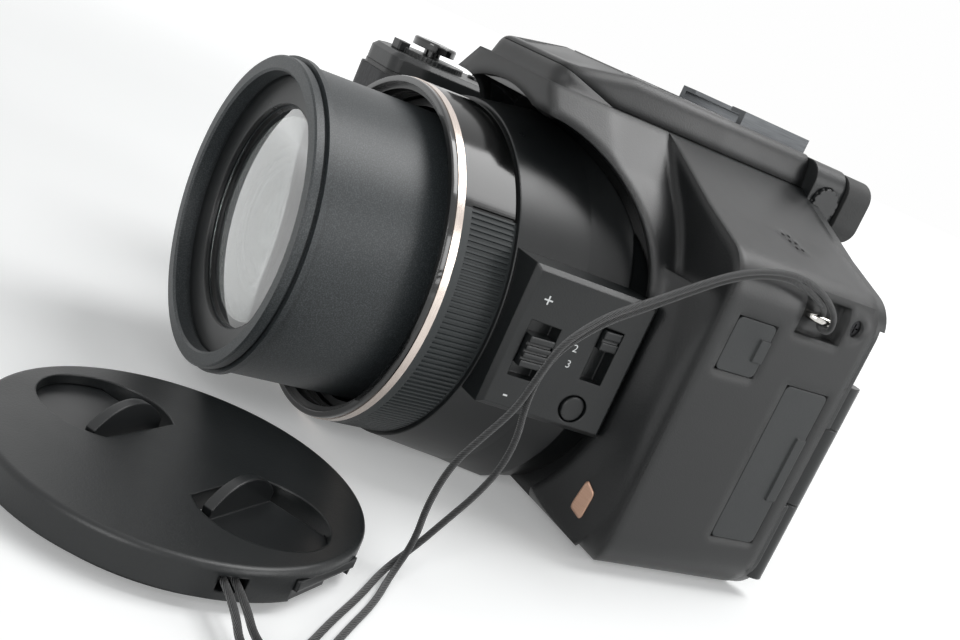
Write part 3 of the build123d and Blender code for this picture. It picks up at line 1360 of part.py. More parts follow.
def make_front_glass():
    """Front element: a shallow domed glass."""
    radius = (GLASS_R ** 2 + GLASS_SAG ** 2) / (2 * GLASS_SAG)
    blank = lens_rod(GLASS_R, GLASS_EDGE - GLASS_SAG, GLASS_EDGE + GLASS_THICKNESS)
    dome = Pos(0, behind_rim(GLASS_EDGE - GLASS_SAG + radius), AXIS_HEIGHT) * Sphere(radius)
    return blank & dome


def make_mid_tube():
    """Intermediate tube between the barrel and the extending tube."""
    return lens_ring(MID_R, MID_R - MID_WALL, MID_FRONT, MID_FRONT + MID_LENGTH)


CARRIAGE_FRONT = 38.0
CARRIAGE_LENGTH = 6.0
CARRIAGE_R = 26.3
ZOOM_GLASS_R = 11.0


def make_zoom_group():
    """Zoom carriage with its glass, inside the extending tube."""
    rear = CARRIAGE_FRONT + CARRIAGE_LENGTH
    carriage = lens_ring(CARRIAGE_R, ZOOM_GLASS_R + FIT / 3, CARRIAGE_FRONT, rear)
    glass = lens_rod(ZOOM_GLASS_R, CARRIAGE_FRONT + GAP, rear - GAP)
    return Compound(children=[carriage, glass])


SENSOR_FRONT = 84.0
SENSOR_WALL = 2.5
SENSOR_WINDOW_R = 8.0


def make_sensor_unit():
    """Sensor holder with its rear lens, and the sensor behind it."""
    rear = CHASSIS_FRONT + NOSE
    holder = lens_rod(SENSOR_R, SENSOR_FRONT, rear) - lens_rod(SENSOR_WINDOW_R, SENSOR_FRONT - OVERRUN, rear + OVERRUN)
    lens = lens_rod(SENSOR_WINDOW_R - FIT / 3, SENSOR_FRONT + GAP, SENSOR_FRONT + SENSOR_WALL)
    sensor = box_between(around(0, SENSOR_WINDOW_R * 1.2), (behind_rim(rear - SENSOR_WALL), behind_rim(rear)),
                         around(AXIS_HEIGHT, SENSOR_WINDOW_R))
    return Compound(children=[holder, lens, sensor])


# Chassis and boards
BOARD_GAP = 1.0
BOARD_THICKNESS = 1.6
BOARD_LEFT = 48.0
BOARD_RIGHT = -50.0
BOARD_BOTTOM = 5.0
BOARD_TOP = 57.0
CHASSIS_RIGHT = -40.0
CHASSIS_LEFT = 47.5
CHASSIS_BOTTOM = 3.5
CHASSIS_TOP = 56.4
CHASSIS_WINDOW_R = 3.0


def socket_notch():
    """Space at the left edge of the chassis and the board for the port sockets."""
    x = BODY_LEFT - WALL - FIT - SOCKET_DEPTH - GAP
    return box_between((x, BODY_LEFT), (CHASSIS_FRONT - OVERRUN, body_rear_y), grown(port_z, WALL))


def make_chassis():
    """Pressed steel chassis plate with standoffs for the main board."""
    y = (CHASSIS_FRONT, CHASSIS_FRONT + CHASSIS_THICKNESS)
    plate = box_between((CHASSIS_RIGHT, CHASSIS_LEFT), y, (CHASSIS_BOTTOM, CHASSIS_TOP))
    plate = plate - rod("y", CHASSIS_WINDOW_R, y[0] - OVERRUN, y[1] + OVERRUN, 0, AXIS_HEIGHT)
    plate = plate - socket_notch()
    for x, z in BOSS_PLACES:
        plate = plate + rod("y", BOSS_R / 2, y[1] - FIT, y[1] + BOARD_GAP, x, z)
    return plate


def make_main_board():
    """Main circuit board with its processor and memory."""
    y0 = CHASSIS_FRONT + CHASSIS_THICKNESS + BOARD_GAP
    board = box_between((BOARD_RIGHT, BOARD_LEFT), (y0, y0 + BOARD_THICKNESS), (BOARD_BOTTOM, BOARD_TOP))
    chip = BOARD_THICKNESS * 8
    for x in (-chip, chip):
        board = board + box_between(around(x, chip), (y0 + BOARD_THICKNESS / 2, y0 + BOARD_THICKNESS + BOARD_GAP),
                                    around(AXIS_HEIGHT, chip))
    return board - socket_notch()


def make_battery():
    """Rechargeable battery block."""
    block = box_between(battery_x, battery_y, battery_z)
    return fillet(block.edges().filter_by(Axis.Z), GAP * 4)


def make_battery_door():
    """Door under the battery, with a slot for its latch."""
    door = box_between(battery_door_x, battery_door_y, (0, BATTERY_DOOR_THICKNESS))
    latch_y = battery_door_y[0] + LATCH_MARGIN
    return door - box_between(around(latch_x(), LATCH_SLOT), around(latch_y, LATCH_WIDTH + 2 * FIT),
                              (-OVERRUN, LATCH_THICKNESS + FIT))


LATCH_MARGIN = 6.0
LATCH_SLOT = 9.0
LATCH_LENGTH = 5.6
LATCH_WIDTH = 3.4
LATCH_THICKNESS = 1.2


def latch_x():
    """X of the middle of the latch's slot."""
    return (battery_door_x[0] + battery_door_x[1]) / 2


def make_battery_latch():
    """Sliding latch of the battery door."""
    x0 = latch_x() - LATCH_SLOT / 2 + FIT
    latch_y = battery_door_y[0] + LATCH_MARGIN
    knob = box_between((x0, x0 + LATCH_LENGTH), around(latch_y, LATCH_WIDTH), (FIT, LATCH_THICKNESS))
    for step in (1, 2, 3):
        x = x0 + step * LATCH_LENGTH / 4
        knob = knob - box_between(around(x, GAP), around(latch_y, LATCH_WIDTH + OVERRUN), (0, GAP))
    return knob


def make_tripod_socket():
    """Brass tripod socket with a flange inside the base."""
    body = rod("z", TRIPOD_BOSS_R - FIT / 3, 0, TRIPOD_LENGTH + WALL)
    flange = rod("z", TRIPOD_FLANGE_R, WALL, WALL + BASE_SCREW_HEAD)
    return body + flange - rod("z", TRIPOD_R, -OVERRUN, TRIPOD_LENGTH)


def make_speaker():
    """Small speaker under the shoulder, with a rim that meets the shoulder's wall."""
    disc = rod("z", SPEAKER_R, SPEAKER_SEAT - SPEAKER_THICKNESS, SPEAKER_SEAT, SPEAKER_X, speaker_y)
    collar = rod("z", SPEAKER_R - WALL / 2, SPEAKER_SEAT - FIT, ROOF_HEIGHT, SPEAKER_X, speaker_y)
    collar = collar - rod("z", SPEAKER_R - WALL, SPEAKER_SEAT - OVERRUN, ROOF_HEIGHT + OVERRUN, SPEAKER_X, speaker_y)
    inside = along_y(body_outline(WALL + FIT), body_front_y, body_rear_y)
    return disc + (collar & inside)


# Sockets behind the doors
SOCKET_DEPTH = 6.0
SOCKET_WALL = 0.8
PORT_WIDTH = 3.0
PORT_HEIGHT = 11.0
JACK_SIZE = 7.6
JACK_BORE_R = 1.4


def make_port_sockets():
    """Two metal sockets behind the long door and the round jack behind the small one."""
    outer = BODY_LEFT - WALL - FIT
    x = (outer - SOCKET_DEPTH, outer)
    middle_y = (port_y[0] + port_y[1]) / 2
    middle_z = (port_z[0] + port_z[1]) / 2
    sockets = []
    for side in (-1, 1):
        z = middle_z + side * PORT_HEIGHT * 2 / 3
        shell = box_between(x, around(middle_y, PORT_WIDTH + 2 * SOCKET_WALL), around(z, PORT_HEIGHT))
        hollow = box_between((x[0] + SOCKET_WALL, x[1] + OVERRUN), around(middle_y, PORT_WIDTH),
                             around(z, PORT_HEIGHT - 2 * SOCKET_WALL))
        sockets.append(shell - hollow)
    jack_middle = ((jack_y[0] + jack_y[1]) / 2, (jack_z[0] + jack_z[1]) / 2)
    jack_x = (x[0] - GAP, x[1] - GAP)
    jack = box_between(jack_x, around(jack_middle[0], JACK_SIZE), around(jack_middle[1], JACK_SIZE))
    jack = jack - rod("x", JACK_BORE_R, jack_x[0] + SOCKET_WALL, x[1] + OVERRUN, *jack_middle)
    sockets.append(jack)
    return Compound(children=sockets)


TAB_LENGTH = 2.4
TAB_HEIGHT_SHARE = 0.42
TAB_PROUD = 0.35


def make_side_door(y, z):
    """Door flush with the side, with a raised finger tab at its rear edge."""
    x = (BODY_LEFT - DOOR_THICKNESS, BODY_LEFT)
    door = box_between(x, y, z)
    door = fillet(door.edges().filter_by(Axis.X), DOOR_ROUND)
    tab_z = around((z[0] + z[1]) / 2, (z[1] - z[0]) * TAB_HEIGHT_SHARE)
    return door + box_between((x[0] + FIT, BODY_LEFT + TAB_PROUD), (y[1] - TAB_LENGTH, y[1]), tab_z)


# Strap eyelets
EYELET_WIRE = 0.75
EYELET_R = 3.0


def make_eyelet(side):
    """Half ring of bright wire with two short legs into the wall; side is 1 or -1."""
    wall_x = BODY_LEFT - LUG_RECESS
    ring = Pos(wall_x, lug_y, LUG_HEIGHT) * Torus(EYELET_R, EYELET_WIRE)
    outside = box_between((wall_x, wall_x + EYELET_R * 2), around(lug_y, EYELET_R * 3),
                          around(LUG_HEIGHT, EYELET_R))
    eyelet = ring & outside
    for sign in (-1, 1):
        leg_y = lug_y + sign * EYELET_R
        eyelet = eyelet + rod("x", EYELET_WIRE, wall_x - OVERRUN, wall_x, leg_y, LUG_HEIGHT)
    return to_side(eyelet, side)


def to_side(shape, side):
    """The shape as it is on the left side, or mirrored to the same depth in the right side."""
    if side > 0:
        return shape
    return Pos(BODY_LEFT - BODY_RIGHT, 0, 0) * mirror(shape, Plane.YZ)


def make_grip_rubber():
    """Rubber skin over the nose of the grip."""
    skin = along_z(grip_outline(-GRIP_SKIN), CORNER, DECK_HEIGHT - OVERRUN)
    skin = skin - along_z(grip_outline(-FIT / 3), 0, DECK_HEIGHT)
    keep = box_between((-BODY_RIGHT - OVERRUN, -GRIP_INNER + OVERRUN), (-GRIP_FRONT - OVERRUN, -GRIP_SIDE_Y / 2 - CORNER),
                       (0, DECK_HEIGHT))
    return skin & keep


GRIP_SKIN = 0.8

# Lens cap, lying face up beside the lens, and its leash
CAP_X = 47.5
CAP_Y = -92.5
CAP_R = 28.8
CAP_LIP_R = 25.4
CAP_LIP = 2.0
CAP_RIM = 5.0
CAP_WALL = 1.6
CAP_EDGE = 0.9
CLIP_TURN = 35.0
CLIP_REACH = 12.0
CLIP_WIDTH = 15.0
CLIP_PLATE = 1.6
CLIP_TRAVEL = 2.0
EAR_RISE = 3.2
EAR_ARC_R = 9.8
WELL_R = 10.4
WELL_SHIFT = 3.2
LATCH_TIP = 0.8
CORD_R = 0.55
CORD_SLOT = 3.0
CORD_SLOT_WIDTH = 4.2
CORD_SLOT_HEIGHT = 2.2
CORD_HEIGHT = 4.4

cap_top = CAP_LIP + CAP_RIM
cap_place = Pos(CAP_X, CAP_Y, 0)
clip_place = cap_place * Rot(0, 0, CLIP_TURN)


def make_cap_body():
    """Lens cap: face, rim, inner lip, two finger wells, two clip channels and the leash slot."""
    body = rod("z", CAP_R, CAP_LIP, cap_top)
    body = fillet(body.faces().sort_by(Axis.Z)[-1].edges(), CAP_EDGE)
    body = body + rod("z", CAP_LIP_R, 0, CAP_LIP + OVERRUN)
    body = body - rod("z", CAP_LIP_R - CAP_WALL, -OVERRUN, cap_top - 2 * CAP_WALL)
    channel_z = (-OVERRUN, cap_top - CAP_WALL)
    inner = CLIP_REACH - CLIP_PLATE - CLIP_TRAVEL - GAP
    for sign in (-1, 1):
        channel = box_between((inner, CAP_R + OVERRUN), around(0, CLIP_WIDTH + 2 * GAP), channel_z)
        well = rod("z", WELL_R, CAP_LIP, cap_top + OVERRUN, CLIP_REACH + WELL_SHIFT, 0)
        well = well & box_between((inner, CAP_R), around(0, 2 * WELL_R), (0, 2 * cap_top))
        cut = channel + well
        body = body - (cut if sign > 0 else mirror(cut, Plane.YZ))
    body = clip_place * body
    slot = box_between((CAP_R - CORD_SLOT, CAP_R + OVERRUN), around(0, CORD_SLOT_WIDTH),
                       around(CORD_HEIGHT, CORD_SLOT_HEIGHT))
    return body - cap_place * slot


def make_cap_clip(sign):
    """Spring clip of the cap: a flat slide, a half-moon finger ear and a latch at the rim."""
    tip = CAP_R - CLIP_TRAVEL / 4
    top = cap_top - CAP_WALL - FIT
    plate = box_between((CLIP_REACH - CLIP_PLATE, tip), around(0, CLIP_WIDTH), (top - CLIP_PLATE, top))
    arc_z = cap_top + EAR_RISE - EAR_ARC_R
    ear = rod("x", EAR_ARC_R, CLIP_REACH - CLIP_PLATE, CLIP_REACH, 0, arc_z)
    ear = ear & box_between((0, CAP_R), around(0, CLIP_WIDTH), (top - CLIP_PLATE, 2 * cap_top))
    latch_x = (CAP_LIP_R + LATCH_TIP - CLIP_PLATE, CAP_LIP_R + LATCH_TIP)
    latch = box_between(latch_x, around(0, CLIP_WIDTH * LATCH_WIDTH_SHARE), (GAP, top))
    clip = plate + ear + latch
    return clip_place * (clip if sign > 0 else mirror(clip, Plane.YZ))


LATCH_WIDTH_SHARE = 0.6

# Route of the leash: out of the cap, over the floor, up to the eyelet, round it and back
LEASH_UP = (
    (73.3, -93.35, 4.4), (80.6, -93.35, 4.3), (88.6, -94.4, 2.4), (90.4, -86.8, 1.0),
    (84.4, -80.6, 0.62), (77.6, -74.3, 0.6), (70.0, -66.7, 0.62), (62.6, -60.9, 1.0),
    (60.6, -58.0, 6.0), (60.8, -58.8, 12.9), (60.6, -57.6, 19.9), (60.4, -54.2, 25.2),
    (60.0, -50.6, 30.4), (59.2, -48.8, 35.6), (58.4, -46.8, 41.0), (57.0, -42.5, 44.9),
    (56.0, -38.0, 48.0), (55.2, -32.6, 50.8), (54.8, -27.4, 53.8), (54.7, -22.4, 57.0),
    (54.6, -16.8, 60.2), (54.6, -10.6, 62.4), (54.5, -3.8, 63.4), (54.4, 2.2, 62.6),
    (54.0, 7.2, 60.6), (53.85, 10.4, 58.2),
)
LEASH_ROUND = ((53.85, 10.4, 55.4), (50.95, 10.4, 55.4))
LEASH_DOWN = (
    (50.95, 10.3, 58.2), (53.2, 6.7, 59.7), (53.25, 1.4, 61.5), (53.3, -4.4, 62.2),
    (53.3, -10.8, 61.0), (53.3, -16.6, 58.6), (53.4, -21.8, 55.4), (53.6, -26.8, 52.2),
    (54.0, -31.8, 49.2), (54.8, -36.8, 46.6), (55.8, -41.2, 43.6), (57.0, -45.4, 40.2),
    (57.8, -47.6, 35.6), (58.4, -47.9, 30.4), (58.9, -47.1, 25.4), (59.0, -47.6, 20.0),
    (59.0, -49.8, 14.8), (59.1, -53.0, 10.0), (59.3, -56.4, 4.9), (61.0, -61.4, 1.0),
    (68.5, -68.4, 0.6), (76.0, -76.2, 0.6), (82.6, -82.4, 0.62), (87.8, -87.8, 1.2),
    (86.0, -91.8, 2.8), (79.8, -91.65, 4.3), (73.3, -91.65, 4.4),
)
TIGHT_SHARE = 0.45


def make_leash():
    """Leash: one thin round cord, laid double from the cap to the eyelet."""
    points = [Vector(*point) for point in LEASH_UP + LEASH_ROUND + LEASH_DOWN]
    radii = []
    for before, here, after in zip(points, points[1:], points[2:]):
        turn = math.radians((here - before).get_angle(after - here))
        shorter = min((here - before).length, (after - here).length)
        radii.append(TIGHT_SHARE * shorter / math.tan(turn / 2))
    route = FilletPolyline(*points, radius=radii)
    cord = sweep(Plane(origin=points[0], z_dir=points[1] - points[0]) * Circle(CORD_R), path=route)
    print("leash length", round(route.length, 1), "radii", [round(radius, 1) for radius in radii])
    print("leash volume", round(cord.volume, 2), "section times length",
          round(math.pi * CORD_R ** 2 * route.length, 2))
    return cord


PIECES = {
    "front_case": make_front_case,
    "rear_case": make_rear_case,
    "top_cover": make_top_cover,
    "hump_cover": make_hump_cover,
    "grip_rubber": make_grip_rubber,
    "lens_housing": make_lens_housing,
    "crescent_arch": make_crescent_arch,
    "barrel_sleeve": make_barrel_sleeve,
    "front_trim_ring": make_front_trim_ring,
    "chrome_ring": make_chrome_ring,
    "ribbed_ring": make_ribbed_ring,
    "side_panel": make_side_panel,
    "hot_shoe": make_hot_shoe,
    "eyecup": make_eyecup,
    "viewfinder_unit": make_viewfinder,
    "strap_lugs": lambda: Compound(children=[make_eyelet(1), make_eyelet(-1)]),
    "chassis": make_chassis,
    "main_board": make_main_board,
    "sensor_unit": make_sensor_unit,
    "battery": make_battery,
    "tripod_socket": make_tripod_socket,
    "case_screws": make_case_screws,
    "speaker": make_speaker,
    "port_sockets": make_port_sockets,
    "lens_tube": make_lens_tube,
    "name_ring": make_name_ring,
    "front_glass": make_front_glass,
    "mid_tube": make_mid_tube,
    "zoom_group": make_zoom_group,
    "zoom_rocker": make_zoom_rocker,
    "focus_slider": make_focus_slider,
    "focus_button": make_focus_button,
    "shutter_button": make_shutter_button,
    "zoom_lever": make_zoom_lever,
    "mode_dial": make_mode_dial,
    "power_switch": make_power_switch,
    "burst_button": lambda: make_top_button(BURST_PLACE),
    "movie_button": lambda: make_top_button(MOVIE_PLACE),
    "flash_head": make_flash_head,
    "flash_button": make_flash_button,
    "lcd_frame": make_lcd_frame,
    "lcd_screen": make_lcd_screen,
    "lcd_hinge": make_lcd_hinge,
    "rear_dial": make_rear_dial,
    "four_way_pad": make_four_way_pad,
    "set_button": make_set_button,
    "dioptre_dial": make_dioptre_dial,
    "jack_door": lambda: make_side_door(jack_y, jack_z),
    "port_door": lambda: make_side_door(port_y, port_z),
    "battery_door": make_battery_door,
    "battery_latch": make_battery_latch,
    "cap_body": make_cap_body,
    "cap_clip_left": lambda: make_cap_clip(-1),
    "cap_clip_right": lambda: make_cap_clip(1),
    "leash": make_leash,
}
for button in REAR_BUTTONS:
    PIECES[button] = lambda place=REAR_BUTTONS[button]: make_rear_button(place)

for name, make in PIECES.items():
    save(name, make())
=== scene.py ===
# %% [markdown]
# # A bridge camera with its lens cap
#
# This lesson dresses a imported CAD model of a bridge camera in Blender. Every length is in
# metres. The origin is the mouth of the tripod socket: the lens points along -Y, +Z is up
# and +X is the camera's own left side. The CAD pieces are already in their places, so the
# work here is the finish of each one and the small soft or printed pieces that CAD leaves out.

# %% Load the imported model
import math

import bmesh
import bpy
from mathutils import Matrix, Vector
from mathutils.bvhtree import BVHTree


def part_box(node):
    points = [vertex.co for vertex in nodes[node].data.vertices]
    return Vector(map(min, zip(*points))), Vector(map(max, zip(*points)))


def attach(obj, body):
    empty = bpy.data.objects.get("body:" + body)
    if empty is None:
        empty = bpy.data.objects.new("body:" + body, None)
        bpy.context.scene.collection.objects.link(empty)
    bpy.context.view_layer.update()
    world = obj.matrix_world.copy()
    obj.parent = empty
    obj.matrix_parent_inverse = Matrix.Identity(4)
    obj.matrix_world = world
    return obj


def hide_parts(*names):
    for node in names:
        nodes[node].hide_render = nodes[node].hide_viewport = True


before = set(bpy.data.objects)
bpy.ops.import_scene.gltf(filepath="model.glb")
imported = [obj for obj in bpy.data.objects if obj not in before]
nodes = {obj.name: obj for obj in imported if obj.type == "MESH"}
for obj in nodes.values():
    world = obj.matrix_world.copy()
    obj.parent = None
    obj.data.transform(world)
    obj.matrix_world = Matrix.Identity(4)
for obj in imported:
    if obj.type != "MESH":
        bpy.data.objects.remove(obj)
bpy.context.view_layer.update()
scene = bpy.context.scene
scene.view_settings.view_transform = "Standard"
MM = 0.001

# %% [markdown]
# The camera comes first. Its place, its three axes and its focal length were solved from the
# rings of the lens, which are true circles of known size, so the picture has the same
# perspective as the photograph. The picture is rolled, because the photographed camera leans
# back with its lens propped up, while this one stands level on its base.

# %% Camera
VIEW_PLACE = (0.2056, -0.1628, 0.08205)
VIEW_RIGHT = (0.44083, 0.80395, 0.39917)
VIEW_UP = (-0.39639, -0.22463, 0.89018)
VIEW_BACK = (0.80532, -0.55064, 0.21966)

lens = bpy.data.cameras.new("view")
lens.sensor_width = 36.0
lens.lens = 47.26
lens.clip_start = 0.01
view = bpy.data.objects.new("view", lens)
axes = Matrix((VIEW_RIGHT, VIEW_UP, VIEW_BACK)).transposed()
view.matrix_world = Matrix.Translation(VIEW_PLACE) @ axes.to_4x4()
scene.collection.objects.link(view)
scene.camera = view
print("camera", VIEW_PLACE)

# %% [markdown]
# The leash is one thin round cord laid double. It is threaded through the slot in the rim of
# the cap, runs over the floor and up to the strap eyelet, goes round the wire, and comes back
# beside itself. A NURBS curve follows its control points loosely, as a limp cord does, and a
# bevel of unit depth gives it the thickness that is written in the radius of its points.

# %% Leash
CORD_WIDTH = 1.1 * MM
LEASH_LENGTH = 0.3364
LEASH_ROUTE = (
    (73.3, -93.35, 4.4), (80.6, -93.35, 4.3), (88.6, -94.4, 2.4), (90.4, -86.8, 1.0),
    (84.4, -80.6, 0.62), (77.6, -74.3, 0.6), (70.0, -66.7, 0.62), (62.6, -60.9, 1.0),
    (60.6, -58.0, 6.0), (60.8, -58.8, 12.9), (60.6, -57.6, 19.9), (60.4, -54.2, 25.2),
    (60.0, -50.6, 30.4), (59.2, -48.8, 35.6), (58.4, -46.8, 41.0), (57.0, -42.5, 44.9),
    (56.0, -38.0, 48.0), (55.2, -32.6, 50.8), (54.8, -27.4, 53.8), (54.7, -22.4, 57.0),
    (54.6, -16.8, 60.2), (54.6, -10.6, 62.4), (54.5, -3.8, 63.4), (54.4, 2.2, 62.6),
    (54.0, 7.2, 60.6), (53.85, 10.4, 58.2),
    (53.85, 10.4, 55.4), (50.95, 10.4, 55.4),
    (50.95, 10.3, 58.2), (53.2, 6.7, 59.7), (53.25, 1.4, 61.5), (53.3, -4.4, 62.2),
    (53.3, -10.8, 61.0), (53.3, -16.6, 58.6), (53.4, -21.8, 55.4), (53.6, -26.8, 52.2),
    (54.0, -31.8, 49.2), (54.8, -36.8, 46.6), (55.8, -41.2, 43.6), (57.0, -45.4, 40.2),
    (57.8, -47.6, 35.6), (58.4, -47.9, 30.4), (58.9, -47.1, 25.4), (59.0, -47.6, 20.0),
    (59.0, -49.8, 14.8), (59.1, -53.0, 10.0), (59.3, -56.4, 4.9), (61.0, -61.4, 1.0),
    (68.5, -68.4, 0.6), (76.0, -76.2, 0.6), (82.6, -82.4, 0.62), (87.8, -87.8, 1.2),
    (86.0, -91.8, 2.8), (79.8, -91.65, 4.3), (73.3, -91.65, 4.4),
)


def round_cord(name, route, width):
    """A round cord along a list of control points in millimetres."""
    curve = bpy.data.curves.new(name, "CURVE")
    curve.dimensions = "3D"
    curve.resolution_u = 10
    curve.bevel_depth = 1.0
    curve.bevel_resolution = 5
    curve.use_fill_caps = True
    spline = curve.splines.new("NURBS")
    spline.points.add(len(route) - 1)
    for point, place in zip(spline.points, route):
        point.co = (*(Vector(place) * MM), 1.0)
        point.radius = width / 2
    spline.order_u = 3
    spline.use_endpoint_u = True
    cord = bpy.data.objects.new(name, curve)
    scene.collection.objects.link(cord)
    return cord


leash = round_cord("leash_cord", LEASH_ROUTE, CORD_WIDTH)
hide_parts("leash")
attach(leash, "camera_body")
print("leash points", len(LEASH_ROUTE))

# %% [markdown]
# Materials are made of nodes. Four small helpers keep each recipe short: one turns an sRGB
# hex colour into the linear numbers that shaders want, one starts a material with its
# Principled shader, one adds a node with its settings and its links, and one joins two sockets.

# %% Helpers for materials
def srgb(code):
    """Linear colour of an sRGB hex code."""
    parts = [int(code[i:i + 2], 16) / 255 for i in (0, 2, 4)]
    return [p / 12.92 if p <= 0.04045 else ((p + 0.055) / 1.055) ** 2.4 for p in parts] + [1.0]


def start(name, colour, roughness, **sockets):
    """A material with its Principled shader, and the fixed sockets of that shader."""
    material = bpy.data.materials.new(name)
    material.use_nodes = True
    shader = material.node_tree.nodes["Principled BSDF"]
    shader.inputs["Base Color"].default_value = srgb(colour)
    shader.inputs["Roughness"].default_value = roughness
    for socket, value in sockets.items():
        shader.inputs[socket.replace("_", " ")].default_value = value
    material.diffuse_color = srgb(colour)
    return material, shader


def add(owner, kind, links=(), **settings):
    """Adds a node. links maps its inputs to outputs or values, settings are its attributes."""
    node = owner.node_tree.nodes.new(kind)
    for key, value in settings.items():
        setattr(node, key, value)
    for socket, source in dict(links).items():
        if isinstance(source, bpy.types.NodeSocket):
            owner.node_tree.links.new(source, node.inputs[socket])
        else:
            node.inputs[socket].default_value = source
    return node


def join(owner, source, target):
    owner.node_tree.links.new(source, target)


# %% [markdown]
# Most of the camera is ABS moulded in a tool with a spark-eroded skin. Such a skin is a field
# of tiny soft pits about 0.3 mm apart. Its tone varies with the grain, and its raised points are
# tinted towards a paler colour as painted glints, which show up close as fine pale speckles.
# From further off the grain only softens the highlights. Broader, fainter changes of roughness
# show where hands have polished it. No moulded edge is truly sharp: the Bevel node turns the
# normals near an edge, so that each one catches a thin line of light as if it had a small
# radius. The two shells of the body are formed more softly than the rest, so their radius is
# larger.

# %% Moulded plastics
EDGE_RADIUS = 0.45 * MM
SHELL_RADIUS = 2.8 * MM


def moulded(name, colour, light, roughness, grain, depth, edge_radius=EDGE_RADIUS, **sockets):
    """Grained moulded plastic. grain, depth and edge_radius are in metres."""
    material, shader = start(name, colour, roughness, **sockets)
    place = add(material, "ShaderNodeTexCoord")
    pits = add(material, "ShaderNodeTexNoise",
               {"Vector": place.outputs["Object"], "Scale": 1 / grain, "Detail": 2.0})
    wear = add(material, "ShaderNodeTexNoise",
               {"Vector": place.outputs["Object"], "Scale": 1 / (18 * MM), "Detail": 3.0})
    # painted glints: the raised points of the grain are tinted towards the paler colour light
    tint = add(material, "ShaderNodeMixRGB",
               {"Fac": pits.outputs["Fac"], "Color1": srgb(colour), "Color2": srgb(light)})
    sheen = add(material, "ShaderNodeMapRange",
                {"Value": wear.outputs["Fac"], "From Min": 0.3, "From Max": 0.7,
                 "To Min": roughness - 0.05, "To Max": roughness + 0.06})
    edge = add(material, "ShaderNodeBevel", {"Radius": edge_radius}, samples=6)
    bump = add(material, "ShaderNodeBump",
               {"Height": pits.outputs["Fac"], "Strength": 0.8, "Distance": depth,
                "Normal": edge.outputs["Normal"]})
    join(material, tint.outputs["Color"], shader.inputs["Base Color"])
    join(material, sheen.outputs["Result"], shader.inputs["Roughness"])
    join(material, bump.outputs["Normal"], shader.inputs["Normal"])
    return material


grained_abs = moulded("grained ABS", "0c0e0f", "16191a", 0.36, 0.34 * MM, 0.03 * MM)
shell_abs = moulded("shell ABS", "0a0b0c", "141617", 0.34, 0.34 * MM, 0.03 * MM, SHELL_RADIUS)
smooth_abs = moulded("smooth ABS", "121415", "1a1c1d", 0.32, 0.5 * MM, 0.006 * MM)
polished_abs = moulded("polished ABS", "050606", "070808", 0.1, 2.0 * MM, 0.003 * MM,
                       Coat_Weight=0.6, Coat_Roughness=0.05)
print("plastics", grained_abs.name, smooth_abs.name, polished_abs.name)

# %% [markdown]
# The skin of the grip, the side doors and the eyecup are moulded rubber. It scatters light
# more than ABS does, so it looks softer and a little greyer, and its grain is coarser.

# %% Rubber
soft_rubber = moulded("moulded rubber", "1c1d1d", "252626", 0.62, 0.6 * MM, 0.05 * MM)
door_rubber = moulded("door elastomer", "1c1e1f", "272a2b", 0.5, 0.3 * MM, 0.02 * MM)


def pebbled_rubber():
    """Rubber with the round pebbles of a leather grain, and painted shade darkening the valleys between
    them.
    """
    material, shader = start("pebbled rubber", "17181a", 0.6)
    place = add(material, "ShaderNodeTexCoord")
    pebbles = add(material, "ShaderNodeTexVoronoi",
                  {"Vector": place.outputs["Object"], "Scale": 1 / (1.1 * MM)},
                  feature="SMOOTH_F1")
    # painted shade: the valleys between the pebbles are darker, and their tops stay lighter
    tint = add(material, "ShaderNodeMixRGB",
               {"Fac": pebbles.outputs["Distance"],
                "Color1": srgb("26272a"), "Color2": srgb("121314")})
    bump = add(material, "ShaderNodeBump",
               {"Height": pebbles.outputs["Distance"], "Strength": 0.9, "Distance": 0.12 * MM},
               invert=True)
    join(material, tint.outputs["Color"], shader.inputs["Base Color"])
    join(material, bump.outputs["Normal"], shader.inputs["Normal"])
    return material


grip_rubber = pebbled_rubber()
print("rubbers", soft_rubber.name, door_rubber.name, grip_rubber.name)

# %% [markdown]
# The lens barrel is aluminium, bead blasted and dyed black in the anodising bath. The dye
# leaves it satin. Its sparkle where the blasting cut crystals is painted into its colour as
# pale specks, painted glints. The bright ring is the same metal turned on a lathe and left
# clear, so its fine marks run round the lens axis.

# %% Metals of the lens
LENS_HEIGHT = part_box("lens_tube")[0].z + (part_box("lens_tube")[1].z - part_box("lens_tube")[0].z) / 2


def blasted_aluminium(name, colour, glint_colour, roughness):
    material, shader = start(name, colour, roughness)
    place = add(material, "ShaderNodeTexCoord")
    grit = add(material, "ShaderNodeTexNoise",
               {"Vector": place.outputs["Object"], "Scale": 1 / (0.22 * MM), "Detail": 3.0})
    # painted glints: the peaks of the grit are tinted towards the pale glint colour
    painted_glint_specks = add(material, "ShaderNodeMapRange",
                 {"Value": grit.outputs["Fac"], "From Min": 0.45, "From Max": 0.75})
    tint = add(material, "ShaderNodeMixRGB",
               {"Fac": painted_glint_specks.outputs["Result"], "Color1": srgb(colour), "Color2": srgb(glint_colour)})
    bump = add(material, "ShaderNodeBump",
               {"Height": grit.outputs["Fac"], "Strength": 0.7, "Distance": 0.015 * MM})
    join(material, tint.outputs["Color"], shader.inputs["Base Color"])
    join(material, bump.outputs["Normal"], shader.inputs["Normal"])
    return material


